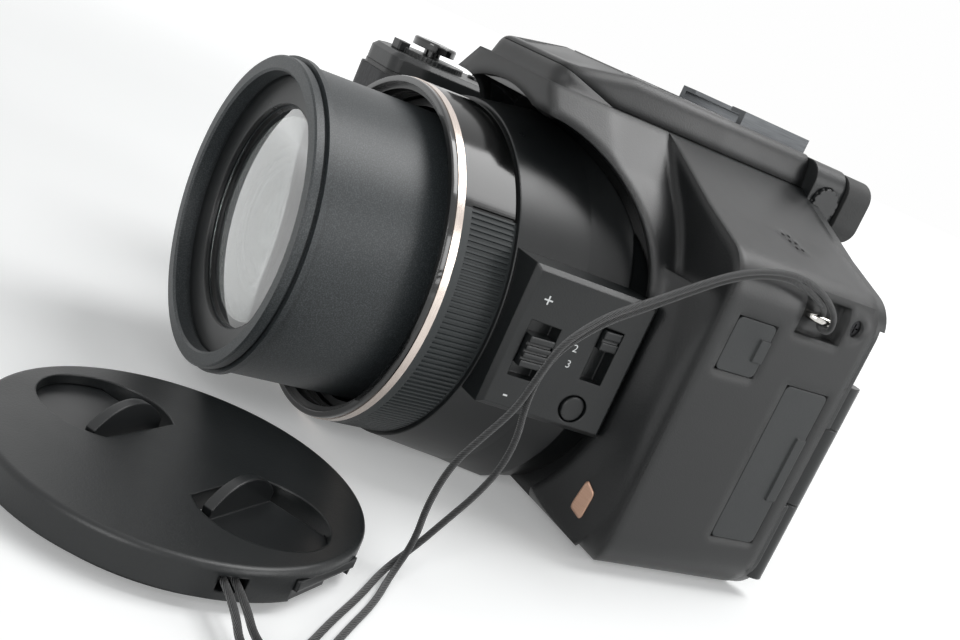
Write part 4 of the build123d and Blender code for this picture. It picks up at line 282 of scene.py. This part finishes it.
def turned_metal(name, colour, dark, roughness, pitch):
    """Metal turned about the lens axis, with lathe marks a pitch apart."""
    material, shader = start(name, colour, roughness, Metallic=1.0)
    place = add(material, "ShaderNodeTexCoord")
    about = add(material, "ShaderNodeMapping",
                {"Vector": place.outputs["Object"], "Location": (0, 0, -LENS_HEIGHT)})
    parts = add(material, "ShaderNodeSeparateXYZ", {"Vector": about.outputs["Vector"]})
    turn = add(material, "ShaderNodeMath", {0: parts.outputs["X"], 1: parts.outputs["Z"]},
               operation="ARCTAN2")
    spread = add(material, "ShaderNodeMath", {0: turn.outputs[0], 1: 1.5 * MM},
                 operation="MULTIPLY")
    marks_at = add(material, "ShaderNodeCombineXYZ",
                   {"X": spread.outputs[0], "Y": parts.outputs["Y"]})
    marks = add(material, "ShaderNodeTexNoise",
                {"Vector": marks_at.outputs["Vector"], "Scale": 1 / pitch, "Detail": 4.0})
    tint = add(material, "ShaderNodeMixRGB",
               {"Fac": marks.outputs["Fac"], "Color1": srgb(dark), "Color2": srgb(colour)})
    bump = add(material, "ShaderNodeBump",
               {"Height": marks.outputs["Fac"], "Strength": 0.5, "Distance": 0.01 * MM})
    join(material, tint.outputs["Color"], shader.inputs["Base Color"])
    join(material, bump.outputs["Normal"], shader.inputs["Normal"])
    return material


black_anodised = blasted_aluminium("black anodised aluminium", "24282a", "4a4f51", 0.42)
fine_anodised = blasted_aluminium("fine black anodised aluminium", "141516", "222425", 0.3)
turned_ring = turned_metal("clear turned aluminium", "efe4dc", "c3b4aa", 0.2, 0.12 * MM)
print("lens axis at", round(LENS_HEIGHT / MM, 2), "mm")

# %% [markdown]
# The small metal pieces are each a different alloy. Strap wire is nickel plated steel, the
# shoe is spring steel with a warm bright plating, the tripod bush is brass, the case screws
# are blackened steel and the inner plate is bare rolled steel.

# %% Other metals
def plated(name, colour, dark, roughness, scratch, direction):
    """Metal with fine straight marks along one axis. scratch is their spacing in metres."""
    material, shader = start(name, colour, roughness, Metallic=1.0)
    place = add(material, "ShaderNodeTexCoord")
    along = [1 / scratch if axis != direction else 1 / (scratch * 40) for axis in "XYZ"]
    stretched = add(material, "ShaderNodeMapping",
                    {"Vector": place.outputs["Object"], "Scale": along})
    marks = add(material, "ShaderNodeTexNoise",
                {"Vector": stretched.outputs["Vector"], "Scale": 1.0, "Detail": 3.0})
    tint = add(material, "ShaderNodeMixRGB",
               {"Fac": marks.outputs["Fac"], "Color1": srgb(dark), "Color2": srgb(colour)})
    rough = add(material, "ShaderNodeMapRange",
                {"Value": marks.outputs["Fac"],
                 "To Min": roughness - 0.06, "To Max": roughness + 0.1})
    join(material, tint.outputs["Color"], shader.inputs["Base Color"])
    join(material, rough.outputs["Result"], shader.inputs["Roughness"])
    return material


nickel_wire = plated("nickel plated wire", "e6e4e0", "b9b6b0", 0.14, 0.2 * MM, "Z")
shoe_plate = plated("plated spring steel", "6b6d6f", "3b3d3f", 0.3, 0.15 * MM, "Y")
brass_bush = plated("turned brass", "d9b46a", "a5813f", 0.28, 0.12 * MM, "X")
black_steel = plated("blackened steel", "3a3a3c", "1c1c1d", 0.35, 0.2 * MM, "X")
rolled_steel = plated("rolled steel", "b5b6b8", "8e9092", 0.32, 0.2 * MM, "X")
print("metals", nickel_wire.name, shoe_plate.name, brass_bush.name)

# %% [markdown]
# Lens glass is clear crown glass with a multilayer coating. The coating turns what little it
# reflects slightly green or violet. Screen glass is the same material with a black layer
# behind it, and the electronics are fibreglass board under green solder resist.

# %% Glass and board
def coated_glass(name, colour, coat):
    material, shader = start(name, colour, 0.02, IOR=1.52, Coat_Weight=1.0, Coat_Roughness=0.03)
    shader.inputs["Transmission Weight"].default_value = 1.0
    shader.inputs["Coat IOR"].default_value = coat
    place = add(material, "ShaderNodeTexCoord")
    film = add(material, "ShaderNodeTexNoise",
               {"Vector": place.outputs["Object"], "Scale": 1 / (14 * MM), "Detail": 2.0})
    smear = add(material, "ShaderNodeMapRange",
                {"Value": film.outputs["Fac"], "To Min": 0.0, "To Max": 0.05})
    join(material, smear.outputs["Result"], shader.inputs["Roughness"])
    return material


front_glass = coated_glass("multicoated glass", "f2f6f4", 2.7)
inner_glass = coated_glass("inner lens glass", "dfe8e6", 1.9)


def screen_face():
    material, shader = start("screen glass", "07080a", 0.08, Coat_Weight=1.0, Coat_Roughness=0.02)
    place = add(material, "ShaderNodeTexCoord")
    cells = add(material, "ShaderNodeTexBrick",
                {"Vector": place.outputs["Object"], "Scale": 1 / (0.6 * MM),
                 "Color1": srgb("0b0c0f"), "Color2": srgb("090a0d"), "Mortar": srgb("050506")})
    join(material, cells.outputs["Color"], shader.inputs["Base Color"])
    return material


def solder_resist():
    material, shader = start("solder resist", "0f4a2c", 0.35)
    place = add(material, "ShaderNodeTexCoord")
    tracks = add(material, "ShaderNodeTexBrick",
                 {"Vector": place.outputs["Object"], "Scale": 1 / (4 * MM),
                  "Color1": srgb("0f4a2c"), "Color2": srgb("0c3f26"), "Mortar": srgb("2b7a4a")})
    join(material, tracks.outputs["Color"], shader.inputs["Base Color"])
    return material


screen_glass = screen_face()
green_board = solder_resist()
print("glass", front_glass.name, inner_glass.name, screen_glass.name)

# %% [markdown]
# The leash is braided round an elastic core. Two sets of yarns cross at a steep angle, so the
# pattern is a lattice about 0.5 mm long. The UV map of a curve runs along it and round it,
# which is the way a braid runs too.

# %% Braided cord
def braided(name, colour, light):
    material, shader = start(name, colour, 0.72, Sheen_Weight=0.35, Sheen_Roughness=0.5)
    place = add(material, "ShaderNodeTexCoord")
    lattice = add(material, "ShaderNodeMapping",
                  {"Vector": place.outputs["UV"], "Scale": (LEASH_LENGTH / (0.9 * MM), 4.0, 1.0),
                   "Rotation": (0, 0, math.radians(45))})
    yarns = add(material, "ShaderNodeTexChecker",
                {"Vector": lattice.outputs["Vector"], "Scale": 1.0,
                 "Color1": srgb(colour), "Color2": srgb(light)})
    waves = add(material, "ShaderNodeTexWave",
                {"Vector": lattice.outputs["Vector"], "Scale": 1.0, "Distortion": 0.6})
    bump = add(material, "ShaderNodeBump",
               {"Height": waves.outputs["Fac"], "Strength": 0.8, "Distance": 0.12 * MM})
    join(material, yarns.outputs["Color"], shader.inputs["Base Color"])
    join(material, bump.outputs["Normal"], shader.inputs["Normal"])
    return material


cord_braid = braided("braided polyester", "0c0d0e", "1b1d1e")
leash.data.materials.append(cord_braid)
print("cord", cord_braid.name)

# %% [markdown]
# The grip ring is one ABS moulding with two finishes. The ribs on its flanks are matt, so that
# fingers hold them, and the panel on top is polished like a piano. One material does both: the
# angle about the lens axis decides which finish a point has.

# %% Grip ring
SMOOTH_HALF_ANGLE = 56.0


def ring_plastic():
    material, shader = start("ribbed ABS", "17191a", 0.5)
    place = add(material, "ShaderNodeTexCoord")
    about = add(material, "ShaderNodeMapping",
                {"Vector": place.outputs["Object"], "Location": (0, 0, -LENS_HEIGHT)})
    parts = add(material, "ShaderNodeSeparateXYZ", {"Vector": about.outputs["Vector"]})
    turn = add(material, "ShaderNodeMath", {0: parts.outputs["X"], 1: parts.outputs["Z"]},
               operation="ARCTAN2")
    from_top = add(material, "ShaderNodeMath", {0: turn.outputs[0]}, operation="ABSOLUTE")
    ribbed = add(material, "ShaderNodeMath",
                 {0: from_top.outputs[0], 1: math.radians(SMOOTH_HALF_ANGLE)},
                 operation="GREATER_THAN")
    skin = add(material, "ShaderNodeTexNoise",
               {"Vector": place.outputs["Object"], "Scale": 1 / (0.3 * MM), "Detail": 2.0})
    tint = add(material, "ShaderNodeMixRGB",
               {"Fac": ribbed.outputs[0], "Color1": srgb("0a0b0b"), "Color2": srgb("2a2e2f")})
    rough = add(material, "ShaderNodeMapRange",
                {"Value": ribbed.outputs[0], "To Min": 0.12, "To Max": 0.52})
    depth = add(material, "ShaderNodeMath", {0: ribbed.outputs[0], 1: 0.02 * MM},
                operation="MULTIPLY")
    bump = add(material, "ShaderNodeBump",
               {"Height": skin.outputs["Fac"], "Distance": depth.outputs[0]})
    join(material, tint.outputs["Color"], shader.inputs["Base Color"])
    join(material, rough.outputs["Result"], shader.inputs["Roughness"])
    join(material, bump.outputs["Normal"], shader.inputs["Normal"])
    return material


ribbed_abs = ring_plastic()
print("ring", ribbed_abs.name)

# %% [markdown]
# Each CAD piece now gets its finish. A CAD mesh is never changed: its material slots are.

# %% Finishes of the CAD pieces
FINISHES = {
    shell_abs: "front_case hump_cover",
    grained_abs: "rear_case top_cover side_panel lcd_frame battery_door cap_body",
    smooth_abs: ("lens_housing zoom_rocker focus_slider focus_button zoom_lever mode_dial "
                 "power_switch burst_button movie_button flash_head flash_button rear_dial "
                 "evf_button lock_button play_button display_button quick_menu_button "
                 "four_way_pad set_button "
                 "dioptre_dial battery_latch battery lcd_hinge viewfinder_unit cap_clip_left "
                 "cap_clip_right name_ring"),
    polished_abs: "crescent_arch front_trim_ring shutter_button",
    ribbed_abs: "ribbed_ring",
    soft_rubber: "eyecup",
    door_rubber: "jack_door port_door",
    grip_rubber: "grip_rubber",
    black_anodised: "lens_tube",
    fine_anodised: "mid_tube barrel_sleeve zoom_group",
    turned_ring: "chrome_ring",
    nickel_wire: "strap_lugs",
    shoe_plate: "hot_shoe",
    brass_bush: "tripod_socket",
    black_steel: "case_screws",
    rolled_steel: "chassis port_sockets speaker sensor_unit",
    front_glass: "front_glass",
    screen_glass: "lcd_screen",
    green_board: "main_board",
}
dressed = set()
for material, names in FINISHES.items():
    for name in names.split():
        mesh = nodes[name].data
        mesh.materials.clear()
        mesh.materials.append(material)
        dressed.add(name)
print("without a finish:", sorted(set(nodes) - dressed - {"leash"}))

# %% [markdown]
# A zoom lens has several glasses behind its front one, each in a blackened cell. Their curved
# faces stack up pale reflections, which is why the mouth of a lens never looks empty. Turned
# pieces are half a section spun round an axis, exactly as a lathe makes them.

# %% Inner glasses
RIM_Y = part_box("lens_tube")[0].y


def finished(name, form, material, body, sharp=35):
    """Turns a bmesh into an object with a finish that rides on a body."""
    mesh = bpy.data.meshes.new(name)
    bmesh.ops.recalc_face_normals(form, faces=form.faces)
    form.to_mesh(mesh)
    form.free()
    for face in mesh.polygons:
        face.use_smooth = True
    mesh.set_sharp_from_angle(angle=math.radians(sharp))
    mesh.materials.append(material)
    piece = bpy.data.objects.new(name, mesh)
    scene.collection.objects.link(piece)
    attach(piece, body)
    return piece


def lathe(section, steps=96):
    """Spins a closed section of (radius, depth behind the rim), in mm, about the lens axis."""
    form = bmesh.new()
    ring = [form.verts.new((r * MM, RIM_Y + depth * MM, LENS_HEIGHT)) for r, depth in section]
    edges = [form.edges.new((a, b)) for a, b in zip(ring, ring[1:] + ring[:1])]
    bmesh.ops.spin(form, geom=ring + edges, cent=(0, RIM_Y, LENS_HEIGHT), axis=(0, 1, 0),
                   angle=2 * math.pi, steps=steps)
    bmesh.ops.remove_doubles(form, verts=form.verts, dist=0.005 * MM)
    return form


def dome(radius, depth, sag, thickness, steps=10):
    """Section of a glass: a domed front, a flat edge and a slightly hollow back."""
    front = [(radius * i / steps, depth - sag * (1 - (i / steps) ** 2)) for i in range(steps + 1)]
    back = [(radius * i / steps, depth + thickness - 0.4 * sag * (1 - (i / steps) ** 2))
            for i in range(steps, -1, -1)]
    return front + back


# radius, depth behind the rim, sag and thickness, in millimetres
INNER_GLASSES = {"second_glass": (17.4, 13.6, 2.6, 2.0), "third_glass": (14.6, 19.6, 3.4, 2.0)}
# section of a cell, as steps out from the radius and back from the depth of its glass
CELL_SECTION = ((0.1, -0.2), (-1.2, -0.6), (-1.2, -1.0), (1.6, -1.0), (8.6, 0.6), (8.6, 2.0),
                (0.1, 2.0))
for name, shape in INNER_GLASSES.items():
    finished(name, lathe(dome(*shape)), inner_glass, "lens_tube")
    radius, depth = shape[:2]
    cell = [(radius + out, depth + back) for out, back in CELL_SECTION]
    finished(name.replace("glass", "cell"), lathe(cell), fine_anodised, "lens_tube")
print("inner glasses", list(INNER_GLASSES))

# %% [markdown]
# A thin bare plate in warm metal colour is set into the front wall, below the lens. It is a
# rhombus with rounded corners that follows the wall. Each of its points is laid on the wall by
# a ray, which is how a sticker is laid on a curved case.

# %% Front plate
def surface_of(node):
    """Search tree of a CAD node, for rays that look for its surface."""
    form = bmesh.new()
    form.from_mesh(nodes[node].data)
    tree = BVHTree.FromBMesh(form)
    form.free()
    return tree


def anodised_plate():
    material, shader = start("copper anodised aluminium", "c9a38c", 0.38, Metallic=0.35)
    place = add(material, "ShaderNodeTexCoord")
    brushed = add(material, "ShaderNodeMapping",
                  {"Vector": place.outputs["Object"],
                   "Scale": (1 / (4 * MM), 1 / MM, 1 / (0.15 * MM))})
    marks = add(material, "ShaderNodeTexNoise", {"Vector": brushed.outputs["Vector"], "Scale": 1.0})
    tint = add(material, "ShaderNodeMixRGB",
               {"Fac": marks.outputs["Fac"], "Color1": srgb("bd947d"), "Color2": srgb("d8b39c")})
    join(material, tint.outputs["Color"], shader.inputs["Base Color"])
    return material


PLATE_CORNERS = ((42.3, 14.2), (44.7, 12.6), (43.6, 6.6), (40.6, 7.6))
PLATE_LIFT = 0.25
PLATE_THICKNESS = 0.35 * MM
PLATE_STEPS = 12
RAY_START = -0.05


def rounded(value, other, corner=0.35):
    """Pulls a point of the unit square inwards at its corners."""
    inner = 1 - corner
    if abs(value) <= inner or abs(other) <= inner:
        return value
    away = math.hypot(abs(value) - inner, abs(other) - inner)
    longest = max(abs(value), abs(other)) - inner
    return math.copysign(inner + (abs(value) - inner) * longest / away, value)


wall = surface_of("front_case")
form = bmesh.new()
rows = []
for i in range(PLATE_STEPS + 1):
    row = []
    for j in range(PLATE_STEPS + 1):
        u, v = 2 * i / PLATE_STEPS - 1, 2 * j / PLATE_STEPS - 1
        u, v = (rounded(u, v) + 1) / 2, (rounded(v, u) + 1) / 2
        top, right, low, left = [Vector(c) for c in PLATE_CORNERS]
        x, z = top.lerp(right, u).lerp(left.lerp(low, u), v)
        hit = wall.ray_cast(Vector((x * MM, RAY_START, z * MM)), Vector((0, 1, 0)))[0]
        row.append(form.verts.new((x * MM, hit.y - PLATE_LIFT * MM, z * MM)))
    rows.append(row)
for one, two in zip(rows, rows[1:]):
    for a, b, c, d in zip(one, one[1:], two[1:], two):
        form.faces.new((a, b, c, d))
plate = finished("front_plate", form, anodised_plate(), "camera_body")
thick = plate.modifiers.new("thickness", "SOLIDIFY")
thick.thickness = PLATE_THICKNESS
thick.offset = -1
print("front plate", [round(v / MM, 1) for v in plate.dimensions])

# %% [markdown]
# Two more details sit on the roof: the polished lid over the flash tube, and the woven steel
# mesh over the two microphones just ahead of the hot shoe. The mesh is a grid whose faces have
# become holes, which the Wireframe modifier does in one step.

# %% Roof details
ROOF_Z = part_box("hump_cover")[1].z
SHOE_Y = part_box("hot_shoe")[0].y
FLASH_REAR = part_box("flash_head")[1].y
ROOF_SINK, ROOF_RISE, ROOF_CORNER = 0.3 * MM, 0.12 * MM, 1.2 * MM
ROOF_HALF = 10.4 * MM
LID_FRONT, LID_REAR = FLASH_REAR - 12.4 * MM, FLASH_REAR - 3.0 * MM
MIC_FRONT, MIC_REAR = FLASH_REAR + 1.4 * MM, SHOE_Y - 3.4 * MM
MIC_MARGIN, MIC_LIFT, MIC_WIRE = 0.8 * MM, 0.14 * MM, 0.14 * MM


def plate_form(outline, low, high, soft):
    """A flat plate with softened upright corners and top edge, from its corners in metres."""
    form = bmesh.new()
    base = form.faces.new([form.verts.new((x, y, low)) for x, y in outline])
    raised = bmesh.ops.extrude_face_region(form, geom=[base])
    tops = [v for v in raised["geom"] if isinstance(v, bmesh.types.BMVert)]
    bmesh.ops.translate(form, verts=tops, vec=(0, 0, high - low))
    upright = [e for e in form.edges if abs(e.verts[0].co.z - e.verts[1].co.z) > (high - low) / 2]
    bmesh.ops.bevel(form, geom=upright, offset=soft, segments=5, affect="EDGES")
    top_edges = [e for e in form.edges if min(v.co.z for v in e.verts) > high - (high - low) / 4]
    bmesh.ops.bevel(form, geom=top_edges, offset=(high - low) / 2, segments=3, affect="EDGES")
    return form


def roof_plate(name, front, rear, half, material, body):
    """A thin plate on the flat of the roof, from its front, its rear and half its width."""
    form = plate_form([(-half, front), (half, front), (half, rear), (-half, rear)],
                      ROOF_Z - ROOF_SINK, ROOF_Z + ROOF_RISE, ROOF_CORNER)
    return finished(name, form, material, body)


roof_plate("flash_lid_plate", LID_FRONT, LID_REAR, ROOF_HALF,
           polished_abs, "flash_head")
roof_plate("mic_frame", MIC_FRONT, MIC_REAR, ROOF_HALF, smooth_abs,
           "camera_body")
form = bmesh.new()
bmesh.ops.create_grid(form, x_segments=38, y_segments=24, size=1.0)
middle = Vector((0, (MIC_FRONT + MIC_REAR) / 2, ROOF_Z + MIC_LIFT))
for vert in form.verts:
    vert.co = middle + Vector((vert.co.x * (ROOF_HALF - MIC_MARGIN),
                               vert.co.y * ((MIC_REAR - MIC_FRONT) / 2 - MIC_MARGIN), 0))
grille = finished("mic_mesh", form, rolled_steel, "camera_body")
wires = grille.modifiers.new("wires", "WIREFRAME")
wires.thickness = MIC_WIRE
print("microphone mesh", [round(v / MM, 1) for v in grille.dimensions])

# %% [markdown]
# The mode dial carries plain numbers, and the rocker and slider have plain marks beside them.
# They are printed in white ink. Text is a curve at first, so it is turned into a mesh, which
# can then be laid on any plane.

# %% Printed marks
def white_ink():
    material, shader = start("white pad ink", "d6d8d8", 0.55)
    place = add(material, "ShaderNodeTexCoord")
    patchy = add(material, "ShaderNodeTexNoise",
                 {"Vector": place.outputs["Object"], "Scale": 1 / (0.4 * MM)})
    tint = add(material, "ShaderNodeMixRGB",
               {"Fac": patchy.outputs["Fac"], "Color1": srgb("cdd0d0"), "Color2": srgb("dfe1e1")})
    join(material, tint.outputs["Color"], shader.inputs["Base Color"])
    return material


ink = white_ink()


def printed(name, text, height, place, right, up, body):
    """Prints a short text on a plane. place is its middle in metres, right and up are its axes."""
    words = bpy.data.curves.new(name, "FONT")
    words.body = text
    words.size = height
    words.align_x, words.align_y = "CENTER", "CENTER"
    words.extrude = 0.02 * MM
    writer = bpy.data.objects.new(name + "_curve", words)
    scene.collection.objects.link(writer)
    piece = bpy.data.objects.new(name, bpy.data.meshes.new_from_object(writer))
    scene.collection.objects.link(piece)
    bpy.data.objects.remove(writer)
    piece.data.materials.clear()
    out = Vector(right).cross(Vector(up))
    piece.data.transform(Matrix.Translation(place) @ Matrix((right, up, out)).transposed().to_4x4())
    piece.data.materials.append(ink)
    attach(piece, body)
    return piece


DIAL_NUMBERS, DIAL_NUMBER_R, DIAL_NUMBER_HEIGHT = 8, 6.6 * MM, 3.0 * MM
DIAL_GAP, PANEL_GAP = 0.02 * MM, 0.03 * MM
dial_low, dial_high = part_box("mode_dial")
dial_middle = (dial_low + dial_high) / 2
for number in range(1, DIAL_NUMBERS + 1):
    angle = math.radians(90 - 360 / DIAL_NUMBERS * (number - 1))
    out = Vector((math.cos(angle), math.sin(angle), 0))
    at = Vector((dial_middle.x, dial_middle.y, dial_high.z + DIAL_GAP)) + out * DIAL_NUMBER_R
    printed(f"dial_number_{number}", str(number), DIAL_NUMBER_HEIGHT, at,
            Vector((out.y, -out.x, 0)), out, "mode_dial")

PANEL_RIGHT, PANEL_UP = (0.195, 0.981, 0.0), (0.0, 0.0, 1.0)
PANEL_OUT = Vector((0.981, -0.195, 0.0))
PANEL_MARKS = {"zoom_plus": ("+", 3.4, (38.81, -37.62, 42.9)),
               "zoom_minus": ("-", 3.4, (38.81, -37.66, 25.2)),
               "focus_one": ("1", 2.0, (40.42, -29.3, 39.6)),
               "focus_two": ("2", 2.0, (40.42, -29.3, 36.6)),
               "focus_three": ("3", 2.0, (40.42, -29.3, 33.6))}
for name, (text, height, place) in PANEL_MARKS.items():
    printed(name, text, height * MM, Vector(place) * MM + PANEL_OUT * PANEL_GAP,
            PANEL_RIGHT, PANEL_UP, "camera_body")
print("printed marks", DIAL_NUMBERS + len(PANEL_MARKS))

# %% [markdown]
# The floor is a sheet of pale paper that runs back without a visible edge. Lit paper is a
# little darker than the white behind it, so the part that the lamps give is topped up with a
# steady glow, which only the camera, mirrors and glass can see. The shadow under the object
# stays, because the glow is added to the lit paper and doesn't replace it. The glow grows with
# distance, until paper and background meet.

# %% Floor
FLOOR_SIZE = 6.0
PAPER_GLOW = 0.2
FAR_GLOW = 0.95


def seen_directly(material_or_world):
    """1 for the rays of the camera, of mirrors and of glass, 0 for the rest."""
    path = add(material_or_world, "ShaderNodeLightPath")
    mirror = add(material_or_world, "ShaderNodeMath",
                 {0: path.outputs["Is Camera Ray"], 1: path.outputs["Is Glossy Ray"]},
                 operation="MAXIMUM")
    both = add(material_or_world, "ShaderNodeMath",
               {0: mirror.outputs[0], 1: path.outputs["Is Transmission Ray"]}, operation="MAXIMUM")
    return both.outputs[0]


def pale_paper():
    """Matt paper with a faint fibre pattern and the glow that only the eye sees."""
    material, shader = start("pale paper", "f1f1f0", 0.9, Specular_IOR_Level=0.0)
    place = add(material, "ShaderNodeTexCoord")
    fibres = add(material, "ShaderNodeTexNoise",
                 {"Vector": place.outputs["Object"], "Scale": 1 / (60 * MM), "Detail": 2.0})
    tint = add(material, "ShaderNodeMixRGB",
               {"Fac": fibres.outputs["Fac"], "Color1": srgb("f2f3f3"), "Color2": srgb("f6f7f7")})
    reach = add(material, "ShaderNodeVectorMath", {0: place.outputs["Object"]}, operation="LENGTH")
    glow = add(material, "ShaderNodeMapRange",
               {"Value": reach.outputs["Value"], "From Min": 0.2, "From Max": 1.2,
                "To Min": PAPER_GLOW, "To Max": FAR_GLOW}, interpolation_type="SMOOTHSTEP")
    shown = add(material, "ShaderNodeMath", {0: glow.outputs["Result"], 1: seen_directly(material)},
                operation="MULTIPLY")
    join(material, tint.outputs["Color"], shader.inputs["Base Color"])
    shader.inputs["Emission Color"].default_value = srgb("fdfefe")
    join(material, shown.outputs[0], shader.inputs["Emission Strength"])
    return material


mesh = bpy.data.meshes.new("floor")
floor_form = bmesh.new()
corners = [floor_form.verts.new((x * FLOOR_SIZE, y * FLOOR_SIZE, 0)) for x, y in
           ((-1, -1), (1, -1), (1, 1), (-1, 1))]
floor_form.faces.new(corners)
floor_form.to_mesh(mesh)
floor_form.free()
mesh.materials.append(pale_paper())
floor = bpy.data.objects.new("floor", mesh)
scene.collection.objects.link(floor)
print("floor", FLOOR_SIZE * 2, "m wide")

# %% [markdown]
# The camera stands in a white tent, so soft light comes from everywhere. Black plastic has
# almost no colour of its own: what the eye sees on it is the tent, mirrored faintly where it
# faces the eye and strongly where it is seen at a slant. The world is that tent. It is white
# to the camera and to mirrors, and dimmer as a lamp.

# %% Tent
TENT_LIGHT = 0.3
world = bpy.data.worlds.new("tent")
scene.world = world
world.use_nodes = True
lit = world.node_tree.nodes["Background"]
lit.inputs["Color"].default_value = srgb("f7f8f8")
lit.inputs["Strength"].default_value = TENT_LIGHT
seen = add(world, "ShaderNodeBackground", {"Color": srgb("fefefe"), "Strength": 1.0})
tent = add(world, "ShaderNodeMixShader", {"Fac": seen_directly(world), 1: lit.outputs[0],
                                          2: seen.outputs[0]})
join(world, tent.outputs[0], world.node_tree.nodes["World Output"].inputs["Surface"])


def softbox(name, place, target, width, height, power):
    """A rectangular lamp that faces a point."""
    light = bpy.data.lights.new(name, "AREA")
    light.shape = "RECTANGLE"
    light.size = width
    light.size_y = height
    light.energy = power
    lamp = bpy.data.objects.new(name, light)
    lamp.location = place
    lamp.rotation_euler = (Vector(target) - Vector(place)).to_track_quat("-Z", "Y").to_euler()
    scene.collection.objects.link(lamp)
    return lamp


# place, point it faces, width and height in metres, and power in watts
SOFTBOXES = {
    "overhead": ((0.1, 0.42, 0.95), (0, 0, 0.04), 0.6, 0.6, 6.4),
    "window": ((0.75, -0.85, 0.42), (0, -0.02, 0.04), 0.42, 0.6, 4.4),
    "rear panel": ((0.8, 0.62, 0.36), (0, 0, 0.05), 0.4, 0.5, 2.6),
}
for name, settings in SOFTBOXES.items():
    softbox(name, *settings)
